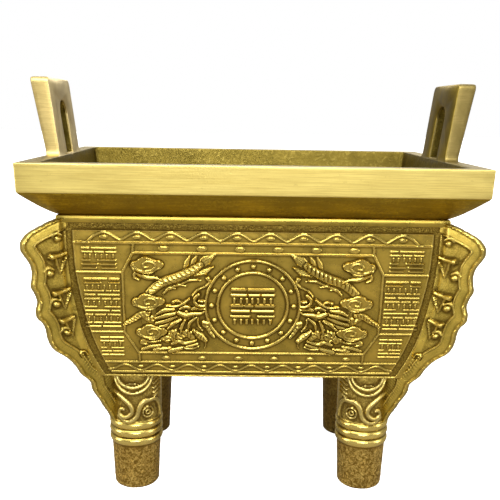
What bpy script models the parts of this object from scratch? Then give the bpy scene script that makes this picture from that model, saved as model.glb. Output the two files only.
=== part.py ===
# Square ding: a four-legged brass vessel on a rectangular plan, cast in one piece.
# Metres, +Z up. The origin is on the floor under the middle of the vessel, the front faces -Y.

import math

import bmesh
import bpy
from mathutils import Vector

# Rim
RIM_WIDTH = 0.2222
RIM_DEPTH = 0.1542
RIM_BAND = 0.0138
RIM_WALL = 0.0090
RIM_EDGE = 0.0006
RIM_LEAN = 0.13
RIM_FLARE = 0.0005

# Neck and the small moulding under it
NECK_INSET = 0.0159
NECK_RISE = 0.0119
LEDGE_HEIGHT = 0.0040
LEDGE_OUT = 0.0010

# Body
BODY_HEIGHT = 0.0872
BODY_TAPER_WIDTH = 0.0160
BODY_TAPER_DEPTH = 0.0114
BODY_WALL = 0.0050
BODY_FLOOR = 0.0060
BODY_EDGE = 0.0022
BODY_STEPS = 6
TAPER_POWER_WIDTH = 2.85
TAPER_POWER_DEPTH = 2.2

# Handles
HANDLE_WIDTH = 0.0470
HANDLE_RISE = 0.0409
HANDLE_FOOT = 0.0073
HANDLE_TOP = 0.0096
HANDLE_CORNER = 0.0036
HANDLE_SET_BACK = 0.0001
SLOT_WIDTH = 0.0154
SLOT_SILL = 0.0008
SLOT_CROWN = 0.0118

# Legs
LEG_HEIGHT = 0.0664
LEG_INSET = 0.0165
LEG_RADIUS = 0.0139
SHANK_TOP_RADIUS = 0.0132
FOOT_RADIUS = 0.0121
FOOT_BEVEL = 0.0008
RING_RADIUS = 0.0144
RING_VALLEY = 0.0131
RING_PITCH = 0.00465
RING_COUNT = 3
RING_GAP = 0.0006
RINGS_BOTTOM = 0.0252
LEG_SIDES = 14

# Corner flanges
FLANGE_REACH = 0.0211
FLANGE_TAIL_REACH = 0.0149
FLANGE_THICKNESS = 0.0070
FLANGE_FIELD = 0.0048
FLANGE_BORDER = 0.0040
FLANGE_STEP = 0.0007
FLANGE_ROOT = 0.0060
FLANGE_TOP_GAP = 0.0013

# Layout of the carved faces
BAND_WIDTH = 0.0036
CORNER_MARGIN_TOP = 0.0015
CORNER_MARGIN_LOW = 0.0041
ROW_HEIGHT = 0.0062
BEAD_ROW = 0.0059
LOW_BEAD_ROW = 0.0050
CELL_WIDTH = 0.0270
LINE_WIDTH = 0.0011
LINE_HEIGHT = 0.0006
FRAME_HEIGHT = 0.0007
WAVE_COUNT_TOP = 10
WAVE_COUNT_LOW = 9
BEAD_COUNT = 6
BEAD_LENGTH = 0.0050
BEAD_HEIGHT = 0.0009
MEDALLION_RADIUS = 0.0237
MEDALLION_INNER = 0.0176
MEDALLION_RING = 0.0016
MEDALLION_HEIGHT = 0.0011
STUD_COUNT = 16
STUD_RADIUS = 0.0012
STUD_HEIGHT = 0.0012
SIDE_MEDALLION_RADIUS = 0.0190
STROKE_WIDTH = 0.0013
STROKE_HEIGHT = 0.0006
CLOUD_LENGTH = 0.0166
CLOUD_HEIGHT = 0.0009
DRAGON_HEIGHT = 0.0520
DRAGON_CENTRE = 0.0430
DRAGON_RELIEF = 0.0017
SINK = 0.0005
SLOPE_STEP = 0.0005

# Levels
UNDERSIDE_Z = LEG_HEIGHT
LEDGE_TOP_Z = UNDERSIDE_Z + BODY_HEIGHT
LEDGE_LOW_Z = LEDGE_TOP_Z - LEDGE_HEIGHT
RIM_LOW_Z = LEDGE_TOP_Z + NECK_RISE
RIM_TOP_Z = RIM_LOW_Z + RIM_BAND
HANDLE_TOP_Z = RIM_TOP_Z + HANDLE_RISE
FLOOR_Z = UNDERSIDE_Z + BODY_FLOOR
FRAME_TOP_Z = LEDGE_LOW_Z - BAND_WIDTH * 0.9
FRAME_LOW_Z = UNDERSIDE_Z + BAND_WIDTH * 1.1


# How far down the body a level is, from 0 under the ledge to 1 at the underside
def body_share(z):
    share = (LEDGE_LOW_Z - z) / (LEDGE_LOW_Z - UNDERSIDE_Z)
    return min(max(share, 0.0), 1.0)


def half_width(z):
    return RIM_WIDTH / 2 - NECK_INSET - BODY_TAPER_WIDTH * body_share(z) ** TAPER_POWER_WIDTH


def half_depth(z):
    return RIM_DEPTH / 2 - NECK_INSET - BODY_TAPER_DEPTH * body_share(z) ** TAPER_POWER_DEPTH


# How much a face's reach grows for each metre up, at a level
def slope_at(reach, z):
    return (reach(z + SLOPE_STEP) - reach(z - SLOPE_STEP)) / (2 * SLOPE_STEP)


LEG_X = half_width(UNDERSIDE_Z) - LEG_INSET
LEG_Y = half_depth(UNDERSIDE_Z) - LEG_INSET


# Collections and objects
def new_collection(name):
    collection = bpy.data.collections.new(name)
    bpy.context.scene.collection.children.link(collection)
    return collection


def object_from(bm, name, collection, flat_faces=False):
    if not flat_faces:
        bmesh.ops.triangulate(bm, faces=bm.faces[:])
    bmesh.ops.recalc_face_normals(bm, faces=bm.faces[:])
    mesh = bpy.data.meshes.new(name)
    bm.to_mesh(mesh)
    bm.free()
    made = bpy.data.objects.new(name, mesh)
    collection.objects.link(made)
    return made


def as_guide(made):
    made.hide_render = True
    made.display_type = "WIRE"
    return made


def brass_material():
    material = bpy.data.materials.new("polished_brass")
    material.use_nodes = True
    shader = material.node_tree.nodes["Principled BSDF"]
    shader.inputs["Base Color"].default_value = (0.62, 0.46, 0.13, 1.0)
    shader.inputs["Metallic"].default_value = 1.0
    shader.inputs["Roughness"].default_value = 0.32
    material.diffuse_color = (0.62, 0.46, 0.13, 1.0)
    return material


# Vessel: rectangular sections lofted up the outside, over the rim and down the inside
def outer_sections():
    low_w = half_width(UNDERSIDE_Z)
    low_d = half_depth(UNDERSIDE_Z)
    sections = [
        (low_w - BODY_EDGE, low_d - BODY_EDGE, UNDERSIDE_Z),
        (low_w - BODY_EDGE * 0.3, low_d - BODY_EDGE * 0.3, UNDERSIDE_Z + BODY_EDGE * 0.3),
    ]
    start = UNDERSIDE_Z + BODY_EDGE
    for step in range(BODY_STEPS + 1):
        share = (step / BODY_STEPS) ** 1.25
        z = start + (LEDGE_LOW_Z - start) * share
        sections.append((half_width(z), half_depth(z), z))
    neck_w = RIM_WIDTH / 2 - NECK_INSET
    neck_d = RIM_DEPTH / 2 - NECK_INSET
    for out, share in ((LEDGE_OUT, 0.2), (LEDGE_OUT, 0.75), (LEDGE_OUT * 0.2, 1.0)):
        sections.append((neck_w + out, neck_d + out, LEDGE_LOW_Z + LEDGE_HEIGHT * share))
    for step in range(1, 5):
        share = step / 4
        inset = RIM_FLARE + (NECK_INSET - RIM_FLARE) * (1 - share ** 0.92)
        z = LEDGE_TOP_Z + NECK_RISE * share ** 1.12
        sections.append((RIM_WIDTH / 2 - inset, RIM_DEPTH / 2 - inset, z))
    top_w = RIM_WIDTH / 2
    top_d = RIM_DEPTH / 2
    sections.append((top_w - RIM_FLARE, top_d - RIM_FLARE, RIM_LOW_Z + RIM_EDGE))
    sections.append((top_w, top_d, RIM_TOP_Z - RIM_EDGE))
    sections.append((top_w - RIM_EDGE, top_d - RIM_EDGE, RIM_TOP_Z))
    return sections


def inner_sections():
    lean = RIM_LEAN * RIM_BAND
    sections = []
    for inset, z in (
        (RIM_WALL - RIM_EDGE, RIM_TOP_Z),
        (RIM_WALL, RIM_TOP_Z - RIM_EDGE),
        (RIM_WALL + lean, RIM_LOW_Z),
        (NECK_INSET + BODY_WALL, LEDGE_LOW_Z),
    ):
        sections.append((RIM_WIDTH / 2 - inset, RIM_DEPTH / 2 - inset, z))
    low = FLOOR_Z + BODY_EDGE
    for step in range(1, 6):
        z = LEDGE_LOW_Z + (low - LEDGE_LOW_Z) * (step / 5) ** 0.85
        sections.append((half_width(z) - BODY_WALL, half_depth(z) - BODY_WALL, z))
    inset = BODY_WALL + BODY_EDGE
    sections.append((half_width(low) - inset, half_depth(low) - inset, FLOOR_Z))
    return sections


def make_vessel(collection):
    bm = bmesh.new()
    rings = []
    for w, d, z in outer_sections() + inner_sections():
        corners = ((-w, -d), (w, -d), (w, d), (-w, d))
        rings.append([bm.verts.new((x, y, z)) for x, y in corners])
    bm.faces.new(list(reversed(rings[0])))
    bm.faces.new(rings[-1])
    for lower, upper in zip(rings, rings[1:]):
        for i in range(4):
            j = (i + 1) % 4
            bm.faces.new((lower[i], lower[j], upper[j], upper[i]))
    return object_from(bm, "square_ding", collection, flat_faces=True)


# Prism between two rings of points that have the same count
def add_prism(bm, low, high):
    bottom = [bm.verts.new(p) for p in low]
    top = [bm.verts.new(p) for p in high]
    bm.faces.new(list(reversed(bottom)))
    bm.faces.new(top)
    count = len(low)
    for i in range(count):
        j = (i + 1) % count
        bm.faces.new((bottom[i], bottom[j], top[j], top[i]))


def arc(cx, cy, radius, start, end, steps):
    points = []
    for step in range(steps + 1):
        angle = math.radians(start + (end - start) * step / steps)
        points.append((cx + radius * math.cos(angle), cy + radius * math.sin(angle)))
    return points


# Handles: leaning plates with round top corners and an arched slot
def handle_inner_x(z):
    return RIM_WIDTH / 2 - RIM_WALL + RIM_LEAN * (z - RIM_TOP_Z)


def handle_outer_x(z):
    grow = (HANDLE_TOP - HANDLE_FOOT) / HANDLE_RISE
    return handle_inner_x(z) + HANDLE_FOOT + grow * (z - RIM_TOP_Z)


def make_handle(side, added, slots):
    half = HANDLE_WIDTH / 2
    foot = RIM_TOP_Z - 0.6 * RIM_BAND
    corner_z = HANDLE_TOP_Z - HANDLE_CORNER
    outline = [(-half, foot), (half, foot)]
    outline += arc(half - HANDLE_CORNER, corner_z, HANDLE_CORNER, 0, 90, 4)
    outline += arc(-half + HANDLE_CORNER, corner_z, HANDLE_CORNER, 90, 180, 4)
    bm = bmesh.new()
    inner = []
    outer = []
    for y, z in outline:
        level = max(z, RIM_TOP_Z)
        inner.append((side * (handle_inner_x(level) + HANDLE_SET_BACK), y, z))
        outer.append((side * handle_outer_x(level), y, z))
    add_prism(bm, inner, outer)
    handle = object_from(bm, "handle", added)

    crown_z = HANDLE_TOP_Z - SLOT_CROWN - SLOT_WIDTH / 2
    sill_z = RIM_TOP_Z + SLOT_SILL
    slot = [(-SLOT_WIDTH / 2, sill_z), (SLOT_WIDTH / 2, sill_z)]
    slot += arc(0, crown_z, SLOT_WIDTH / 2, 0, 180, 8)
    near = handle_inner_x(RIM_TOP_Z) - HANDLE_FOOT
    far = handle_outer_x(HANDLE_TOP_Z) + HANDLE_FOOT
    bm = bmesh.new()
    add_prism(bm, [(side * near, y, z) for y, z in slot], [(side * far, y, z) for y, z in slot])
    cut(handle, as_guide(object_from(bm, "handle_slot", slots)))
    as_guide(handle)


# Legs: a turned post, with three rings on the front ones
def leg_profile(ring_count):
    top = UNDERSIDE_Z + BODY_FLOOR / 2
    rings_top = RINGS_BOTTOM + RING_COUNT * RING_PITCH
    profile = [(0.0, top), (LEG_RADIUS, top), (LEG_RADIUS, rings_top + RING_GAP)]
    for ring in range(ring_count):
        high = rings_top - ring * RING_PITCH
        profile.append((RING_VALLEY, high))
        profile.append((RING_RADIUS, high - RING_PITCH * 0.3))
        profile.append((RING_RADIUS, high - RING_PITCH * 0.7))
    profile.append((SHANK_TOP_RADIUS, RINGS_BOTTOM))
    profile.append((FOOT_RADIUS, FOOT_BEVEL))
    profile.append((FOOT_RADIUS - FOOT_BEVEL, 0.0))
    profile.append((0.0, 0.0))
    return profile


def make_leg(x, y, ring_count, guides):
    profile = leg_profile(ring_count)
    mesh = bpy.data.meshes.new("leg")
    edges = [(i, i + 1) for i in range(len(profile) - 1)]
    mesh.from_pydata([(r, 0.0, z) for r, z in profile], edges, [])
    leg = bpy.data.objects.new("leg", mesh)
    guides.objects.link(leg)
    leg.location = (x, y, 0.0)
    leg.rotation_euler = (0.0, 0.0, math.pi / LEG_SIDES)
    turn = leg.modifiers.new("turn", "SCREW")
    turn.steps = LEG_SIDES
    turn.render_steps = LEG_SIDES
    turn.use_merge_vertices = True
    turn.merge_threshold = 0.00001
    turn.use_smooth_shade = True
    return as_guide(leg)


# Flanges: scalloped plates on the corners, whose tails run down the legs.
# A place on one is its distance out from the vessel's corner line, its height and its side.
FLANGE_SLANT = (half_width(LEDGE_LOW_Z) - half_depth(LEDGE_LOW_Z) + LEG_X - LEG_Y) / 2


def corner_distance(z):
    return (half_width(z) + half_depth(z)) / math.sqrt(2)


def leg_distance():
    return (LEG_X + LEG_Y) / math.sqrt(2) + LEG_RADIUS


def flange_point(distance, z, side, signs):
    x = (distance * math.sqrt(2) + FLANGE_SLANT) / 2 + side / math.sqrt(2)
    y = (distance * math.sqrt(2) - FLANGE_SLANT) / 2 - side / math.sqrt(2)
    return Vector((x * signs[0], y * signs[1], z))


# Scallops as (share of the way down the body, share of the reach)
SCALLOPS = (
    (0.00, -0.11), (0.02, 0.27), (0.0675, 0.77), (0.114, 0.96), (0.1605, 0.98), (0.213, 0.87),
    (0.2655, 0.765), (0.312, 0.765), (0.376, 0.82), (0.4285, 0.75), (0.475, 0.75), (0.527, 0.825),
    (0.574, 0.805), (0.63, 0.71), (0.708, 0.75), (0.766, 0.70), (0.846, 0.46), (0.917, 0.36),
    (0.97, 0.35),
)
# The tail as (share of the way down from the underside to the rings, share of the tail's reach).
# Its first point is in the vessel's floor, so that the plate fills the corner over the leg.
TAIL = (
    (-0.025, 1.02), (0.08, 0.93), (0.30, 0.82), (0.51, 0.58), (0.72, 0.37), (0.90, 0.19),
    (1.04, 0.08),
)


def flange_outline():
    points = []
    top = LEDGE_TOP_Z - FLANGE_TOP_GAP
    for down, out in SCALLOPS:
        z = top - (top - UNDERSIDE_Z) * down
        points.append((corner_distance(z) + FLANGE_REACH * out, z))
    rings_top = RINGS_BOTTOM + RING_COUNT * RING_PITCH
    for down, out in TAIL:
        z = UNDERSIDE_Z - (UNDERSIDE_Z - rings_top) * down
        points.append((leg_distance() + FLANGE_TAIL_REACH * out, z))
    return points


# The scallops are rooted in the vessel's walls and the tail in the leg
def flange_roots(steps):
    roots = []
    for i, (_, z) in enumerate(steps):
        surface = corner_distance(z) if i < len(SCALLOPS) else leg_distance()
        roots.append((surface - FLANGE_ROOT, z))
    return roots


# Points of an open line moved sideways, to its right as it is walked
def offset_line(points, amount):
    moved = []
    last = len(points) - 1
    for i, (a, b) in enumerate(points):
        before = points[max(i - 1, 0)]
        after = points[min(i + 1, last)]
        da = after[0] - before[0]
        db = after[1] - before[1]
        length = math.hypot(da, db)
        moved.append((a + db / length * amount, b - da / length * amount))
    return moved


def flange_section(outer, inner, step, root, signs):
    thick = FLANGE_THICKNESS / 2
    thin = FLANGE_FIELD / 2
    half = [(outer, thick), (inner, thick), (step, thin), (root, thin)]
    section = [flange_point(spot[0], spot[1], side, signs) for spot, side in half]
    section += [flange_point(spot[0], spot[1], -side, signs) for spot, side in reversed(half)]
    return section


def make_flange(signs, guides):
    outline = flange_outline()
    border = offset_line(outline, FLANGE_BORDER)
    steps = offset_line(outline, FLANGE_BORDER + FLANGE_STEP)
    bm = bmesh.new()
    rows = []
    for spots in zip(outline, border, steps, flange_roots(steps)):
        rows.append([bm.verts.new(point) for point in flange_section(*spots, signs)])
    for row in (rows[0], rows[-1]):
        bm.faces.new([row[i] for i in (0, 1, 2, 5, 6, 7)])
        bm.faces.new([row[i] for i in (2, 3, 4, 5)])
    for one, two in zip(rows, rows[1:]):
        for i in range(8):
            j = (i + 1) % 8
            bm.faces.new((one[i], one[j], two[j], two[i]))
    return as_guide(object_from(bm, "flange", guides))


# Carving is drawn flat, in a place's own two directions, and lifted off the surface by a height.
# A place is a function of (across, up, lift) that gives a point in the vessel's frame.
FACES = {
    "front": ((1, 0), (0, -1)),
    "right": ((0, 1), (1, 0)),
    "back": ((-1, 0), (0, 1)),
    "left": ((0, -1), (-1, 0)),
}


def face_place(name):
    right, outward = FACES[name]
    reach = half_width if outward[0] else half_depth

    def place(across, up, lift):
        slope = slope_at(reach, up)
        stretch = math.hypot(1, slope)
        out = reach(up) + lift / stretch
        x = right[0] * across + outward[0] * out
        y = right[1] * across + outward[1] * out
        return Vector((x, y, up - lift * slope / stretch))

    return place


def leg_place(x_sign, y_sign):
    def place(across, up, lift):
        angle = across / LEG_RADIUS
        radius = LEG_RADIUS + lift
        x = x_sign * (LEG_X + radius * math.sin(angle))
        y = y_sign * (LEG_Y + radius * math.cos(angle))
        return Vector((x, y, up))

    return place


def flange_place(signs, face):
    def place(out, up, lift):
        return flange_point(corner_distance(up) + out, up, face * (FLANGE_FIELD / 2 + lift), signs)

    return place


# Each element is rooted at a depth of its own, so that no two roots lie in one surface
def root_depth(bm):
    return SINK * (1.0 + 0.05 * (len(bm.verts) % 17))


# A raised line with a sharp crest along open or closed points
def ridge(bm, place, points, width, height, closed=False, taper=1.0):
    count = len(points)
    rows = []
    depth = root_depth(bm)
    spread = width / 2 * (1 + depth / height)
    for i, (a, b) in enumerate(points):
        before = points[(i - 1) % count] if closed else points[max(i - 1, 0)]
        after = points[(i + 1) % count] if closed else points[min(i + 1, count - 1)]
        da = after[0] - before[0]
        db = after[1] - before[1]
        length = math.hypot(da, db)
        size = 1.0 if closed else 1.0 - (1.0 - taper) * i / (count - 1)
        na = -db / length * spread * size
        nb = da / length * spread * size
        rows.append([
            bm.verts.new(place(a + na, b + nb, -depth)),
            bm.verts.new(place(a - na, b - nb, -depth)),
            bm.verts.new(place(a, b, height * (0.5 + 0.5 * size))),
        ])
    pairs = list(zip(rows, rows[1:]))
    if closed:
        pairs.append((rows[-1], rows[0]))
    else:
        bm.faces.new(rows[0])
        bm.faces.new(list(reversed(rows[-1])))
    for one, two in pairs:
        for i in range(3):
            j = (i + 1) % 3
            bm.faces.new((one[i], one[j], two[j], two[i]))


# A flat-topped boss on an outline
def boss(bm, place, outline, height, shrink=0.75):
    middle_a = sum(a for a, b in outline) / len(outline)
    middle_b = sum(b for a, b in outline) / len(outline)
    depth = root_depth(bm)
    low = [place(a, b, -depth) for a, b in outline]
    high = []
    for a, b in outline:
        high.append(place(middle_a + (a - middle_a) * shrink, middle_b + (b - middle_b) * shrink, height))
    add_prism(bm, low, high)


def oval(a, b, radius_a, radius_b, sides):
    points = []
    for i in range(sides):
        angle = 2 * math.pi * i / sides
        points.append((a + radius_a * math.cos(angle), b + radius_b * math.sin(angle)))
    return points


# A pointed bead on an oval foot
def bead(bm, place, a, b, radius_a, radius_b, height, sides):
    depth = root_depth(bm)
    grow = 1 + depth / height
    foot = [bm.verts.new(place(p, q, -depth))
            for p, q in oval(a, b, radius_a * grow, radius_b * grow, sides)]
    tip = bm.verts.new(place(a, b, height))
    bm.faces.new(list(reversed(foot)))
    for i in range(sides):
        bm.faces.new((foot[i], foot[(i + 1) % sides], tip))


def stroke(bm, place, a, b, length):
    ridge(bm, place, [(a - length / 2, b), (a + length / 2, b)], STROKE_WIDTH, STROKE_HEIGHT)


# Inner edge of the recessed band at a level, on a face of the given reach
def panel_edge(reach, z):
    margin = CORNER_MARGIN_TOP + (CORNER_MARGIN_LOW - CORNER_MARGIN_TOP) * body_share(z)
    return reach(z) - margin - BAND_WIDTH * math.hypot(1, slope_at(reach, z))


def frame_loop(reach, steps):
    points = []
    for step in range(steps + 1):
        z = FRAME_LOW_Z + (FRAME_TOP_Z - FRAME_LOW_Z) * (step / steps) ** 1.4
        points.append((panel_edge(reach, z), z))
    return [(-a, z) for a, z in points] + list(reversed(points))


def level_line(bm, place, reach, z):
    edge = panel_edge(reach, z)
    ridge(bm, place, [(-edge, z), (edge, z)], LINE_WIDTH, LINE_HEIGHT)


def wave_row(bm, place, z, count, half_length):
    points = []
    steps = count * 4
    rise = ROW_HEIGHT * 0.27
    for step in range(steps + 1):
        share = step / steps
        angle = 2 * math.pi * count * share
        points.append((-half_length + 2 * half_length * share, z - rise * math.cos(angle)))
    ridge(bm, place, points, LINE_WIDTH, LINE_HEIGHT)


def bead_row(bm, place, z, count, half_length):
    for i in range(count):
        a = -half_length + 2 * half_length * i / (count - 1)
        bead(bm, place, a, z, BEAD_LENGTH / 2, BEAD_LENGTH * 0.3, BEAD_HEIGHT, 6)


# The rows between the frame's edges, from the top
ROW_LINE_TOP_Z = FRAME_TOP_Z - ROW_HEIGHT
FIELD_TOP_Z = ROW_LINE_TOP_Z - BEAD_ROW
ROW_LINE_LOW_Z = FRAME_LOW_Z + ROW_HEIGHT
FIELD_LOW_Z = ROW_LINE_LOW_Z + LOW_BEAD_ROW
FIELD_MID_Z = (FIELD_TOP_Z + FIELD_LOW_Z) / 2
FIELD_HEIGHT = FIELD_TOP_Z - FIELD_LOW_Z


def face_rows(bm, place, reach, levels):
    ridge(bm, place, frame_loop(reach, 5), LINE_WIDTH, FRAME_HEIGHT, closed=True)
    for z in levels:
        level_line(bm, place, reach, z)


def medallion(bm, place, sides, rings):
    for ring_radius in rings:
        ridge(bm, place, oval(0.0, FIELD_MID_Z, ring_radius, ring_radius, sides),
              MEDALLION_RING, MEDALLION_HEIGHT, closed=True)


# A cloud: a low lobed cushion
def cloud(bm, place, a, b, length, flip=1):
    outline = []
    sides = 10
    for i in range(sides):
        angle = 2 * math.pi * i / sides
        lobe = 1.0 + 0.10 * math.cos(3 * angle * flip)
        outline.append((a + flip * length / 2 * lobe * math.cos(angle),
                        b + length * 0.27 * lobe * math.sin(angle)))
    if flip < 0:
        outline.reverse()
    boss(bm, place, outline, CLOUD_HEIGHT, 0.8)


# The dragon, drawn on a grid of 52 steps to its height, its head towards the medallion.
# Each stroke is its width, its height as a share of the relief, how much it tapers, and its route.
DRAGON_GRID = 52
DRAGON_STROKES = {
    "tail": (4.2, 1.0, 1.25, ((16.5, 20.2), (11.5, 16.7), (5.0, 13.6), (-1.1, 11.4), (-5.1, 8.6))),
    "tail fin": (3.4, 0.6, 0.2, ((17.3, 21.3), (20.3, 23.6), (23.5, 25.4))),
    "lower fin": (2.6, 0.5, 0.2, ((15.4, 15.2), (19.4, 17.4), (23.0, 19.6))),
    "whisker": (1.5, 0.6, 0.6, ((19.2, 13.0), (20.4, 11.0), (17.5, 8.8), (13.6, 6.6))),
    "nose": (2.2, 0.9, 0.8, ((13.4, 4.8), (15.0, 1.8), (19.0, 0.4))),
    "jaw": (2.4, 0.9, 0.5, ((10.5, -5.6), (14.5, -4.6), (18.6, -3.4))),
    "horn": (2.0, 0.8, 1.4, ((0.8, 1.6), (4.4, 0.2), (8.4, 0.0), (11.6, 1.4))),
    "upper lock": (2.6, 0.8, 1.3, ((-4.8, -4.9), (0.0, -3.6), (5.4, -3.2))),
    "middle lock": (2.4, 0.8, 1.3, ((-5.7, -8.4), (-0.4, -7.2), (5.4, -6.2))),
    "lower lock": (2.4, 0.8, 1.3, ((-3.6, -12.0), (1.0, -10.9), (6.2, -9.4))),
    "beard": (2.6, 0.8, 0.5, ((8.8, -8.6), (8.4, -12.0), (6.6, -15.0))),
    "chin": (2.6, 0.8, 0.5, ((13.8, -7.4), (12.4, -10.6), (11.2, -13.6))),
    "arm": (2.8, 0.9, 0.5, ((-11.4, -6.2), (-15.6, -8.2), (-20.5, -10.7))),
    "foreleg": (3.2, 0.9, 0.7, ((13.1, -15.6), (16.0, -17.6), (18.8, -20.3))),
    "claw": (2.2, 0.8, 0.7, ((18.3, -9.4), (20.6, -13.0), (23.3, -17.6))),
    "coil": (4.0, 0.9, 0.8, ((1.4, -17.4), (6.0, -18.4), (11.0, -18.2))),
    "left foot": (2.2, 0.7, 0.5, ((-3.4, -22.4), (-8.0, -23.2), (-12.5, -24.6))),
    "right foot": (2.6, 0.8, 0.5, ((2.2, -23.2), (8.0, -22.8), (14.5, -22.2))),
}
DRAGON_HEAD = ((6.8, -4.2), (8.6, -6.9), (9.4, -6.4), (10.0, -3.2), (12.2, 0.2), (9.6, -1.2), (7.4, -1.8))
CLOUD_PLACES = ((-9.6, 19.7), (-9.3, 0.6), (-8.6, -15.8))


def dragon(bm, place, flip):
    step = DRAGON_HEIGHT / DRAGON_GRID

    def spot(p, q):
        return flip * (DRAGON_CENTRE - p * step), FIELD_MID_Z + q * step

    for width, height, taper, route in DRAGON_STROKES.values():
        ridge(bm, place, [spot(p, q) for p, q in route], width * step, height * DRAGON_RELIEF,
              taper=taper)
    boss(bm, place, [spot(p, q) for p, q in DRAGON_HEAD], DRAGON_RELIEF, 0.8)
    for p, q in CLOUD_PLACES:
        a, b = spot(p, q)
        cloud(bm, place, a, b, CLOUD_LENGTH, flip)


# The side cells: a bent divider, two cross lines and rows of plain strokes.
# The cross lines stand at these shares of the field's height.
UPPER_SPLIT_SHARE = 0.82
LOWER_SPLIT_SHARE = 0.24


def divider_points(reach):
    inner = panel_edge(reach, FIELD_TOP_Z) - CELL_WIDTH
    split_high = FIELD_LOW_Z + FIELD_HEIGHT * UPPER_SPLIT_SHARE
    split_low = FIELD_LOW_Z + FIELD_HEIGHT * LOWER_SPLIT_SHARE
    return [
        (inner, ROW_LINE_TOP_Z),
        (inner, FIELD_TOP_Z),
        (inner + CELL_WIDTH * 0.18, split_high),
        (inner + CELL_WIDTH * 0.11, split_low),
        (inner - CELL_WIDTH * 0.19, FIELD_LOW_Z),
    ]


def stroke_block(bm, place, a, b, width, height, rows):
    pitch = height / rows
    for row in range(rows):
        z = b + height / 2 - pitch * (row + 0.5)
        if row % 4 == 3:
            stroke(bm, place, a - width * 0.27, z, width * 0.42)
            stroke(bm, place, a + width * 0.27, z, width * 0.42)
        else:
            stroke(bm, place, a, z, width)


def side_cells(bm, place, reach, flip):
    points = divider_points(reach)
    ridge(bm, place, [(flip * a, z) for a, z in points], LINE_WIDTH, LINE_HEIGHT)
    field_high = points[2][1]
    field_low = points[3][1]
    for z, inner in ((field_high, points[2][0]), (field_low, points[3][0])):
        edge = panel_edge(reach, z)
        ridge(bm, place, [(flip * inner, z), (flip * edge, z)], LINE_WIDTH, LINE_HEIGHT)
    blocks = (
        (ROW_LINE_TOP_Z, field_high, 3),
        (field_high, field_low, 5),
        (field_low, ROW_LINE_LOW_Z, 2),
    )
    for high, low, rows in blocks:
        middle = (high + low) / 2
        inner = interpolated(points, middle)
        outer = panel_edge(reach, middle)
        width = min(CELL_WIDTH * 0.62, (outer - inner) * 0.62)
        stroke_block(bm, place, flip * (inner + outer) / 2, middle, width,
                     (high - low) * 0.8, rows)


def interpolated(points, z):
    for (a, high), (b, low) in zip(points, points[1:]):
        if low <= z <= high:
            return a + (b - a) * (high - z) / (high - low)
    return points[-1][0]


def carve_front(bm):
    place = face_place("front")
    reach = half_width
    face_rows(bm, place, reach, (ROW_LINE_TOP_Z, FIELD_TOP_Z, FIELD_LOW_Z, ROW_LINE_LOW_Z))
    wave_middle_top = (FRAME_TOP_Z + ROW_LINE_TOP_Z) / 2
    wave_middle_low = (FRAME_LOW_Z + ROW_LINE_LOW_Z) / 2
    margin = ROW_HEIGHT
    for z, count in ((wave_middle_top, WAVE_COUNT_TOP), (wave_middle_low, WAVE_COUNT_LOW)):
        wave_row(bm, place, z, count, panel_edge(reach, z) - margin)
    bead_half = panel_edge(reach, FIELD_TOP_Z) - CELL_WIDTH - BEAD_LENGTH * 2.6
    bead_row(bm, place, (ROW_LINE_TOP_Z + FIELD_TOP_Z) / 2, BEAD_COUNT, bead_half)
    bead_row(bm, place, (ROW_LINE_LOW_Z + FIELD_LOW_Z) / 2, BEAD_COUNT, bead_half * 0.94)
    medallion(bm, place, 22, (MEDALLION_RADIUS, MEDALLION_INNER))
    ring_middle = (MEDALLION_RADIUS + MEDALLION_INNER) / 2
    for i in range(STUD_COUNT):
        angle = 2 * math.pi * i / STUD_COUNT
        bead(bm, place, ring_middle * math.sin(angle), FIELD_MID_Z + ring_middle * math.cos(angle),
             STUD_RADIUS, STUD_RADIUS, STUD_HEIGHT, 5)
    stroke_block(bm, place, 0.0, FIELD_MID_Z, MEDALLION_INNER, MEDALLION_INNER * 1.05, 4)
    for flip in (-1, 1):
        dragon(bm, place, flip)
        side_cells(bm, place, reach, flip)


def carve_back(bm):
    place = face_place("back")
    reach = half_width
    face_rows(bm, place, reach, (FIELD_TOP_Z, FIELD_LOW_Z))
    bead_half = panel_edge(reach, FIELD_TOP_Z) - CELL_WIDTH - BEAD_LENGTH * 2.6
    bead_row(bm, place, (ROW_LINE_TOP_Z + FIELD_TOP_Z) / 2, BEAD_COUNT, bead_half)
    medallion(bm, place, 18, (MEDALLION_RADIUS,))
    for flip in (-1, 1):
        for share in (-0.25, 0.25):
            cloud(bm, place, flip * DRAGON_CENTRE, FIELD_MID_Z + FIELD_HEIGHT * share, CLOUD_LENGTH, flip)


def carve_side(bm, name):
    place = face_place(name)
    reach = half_depth
    face_rows(bm, place, reach, (FIELD_TOP_Z, FIELD_LOW_Z))
    medallion(bm, place, 14, (SIDE_MEDALLION_RADIUS,))


# The front legs' carving: half rings hung from the body's edge, an arch and a hook
def carve_leg(bm, x_sign):
    place = leg_place(x_sign, -1)
    bow = LEG_RADIUS * 0.72
    for radius in (bow, bow * 1.35):
        points = []
        for i in range(7):
            angle = math.pi * (0.08 + 0.84 * i / 6)
            points.append((radius * math.cos(angle), UNDERSIDE_Z - radius * 0.78 * math.sin(angle)))
        ridge(bm, place, points, LINE_WIDTH * 1.2, LINE_HEIGHT * 1.2)
    foot = RINGS_BOTTOM + RING_COUNT * RING_PITCH
    grid = LEG_RADIUS / 13.5
    arch = ((-9.0, 5.6), (-8.4, 10.6), (-5.2, 13.0), (-2.2, 11.4), (0.6, 6.0), (4.4, 3.2), (8.4, 4.6))
    hook = ((10.4, 14.2), (6.8, 12.6), (4.6, 9.4), (7.4, 7.6))
    for route in (arch, hook):
        ridge(bm, place, [(a * grid, foot + b * grid) for a, b in route], LINE_WIDTH * 1.4,
              LINE_HEIGHT * 1.3)


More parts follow.
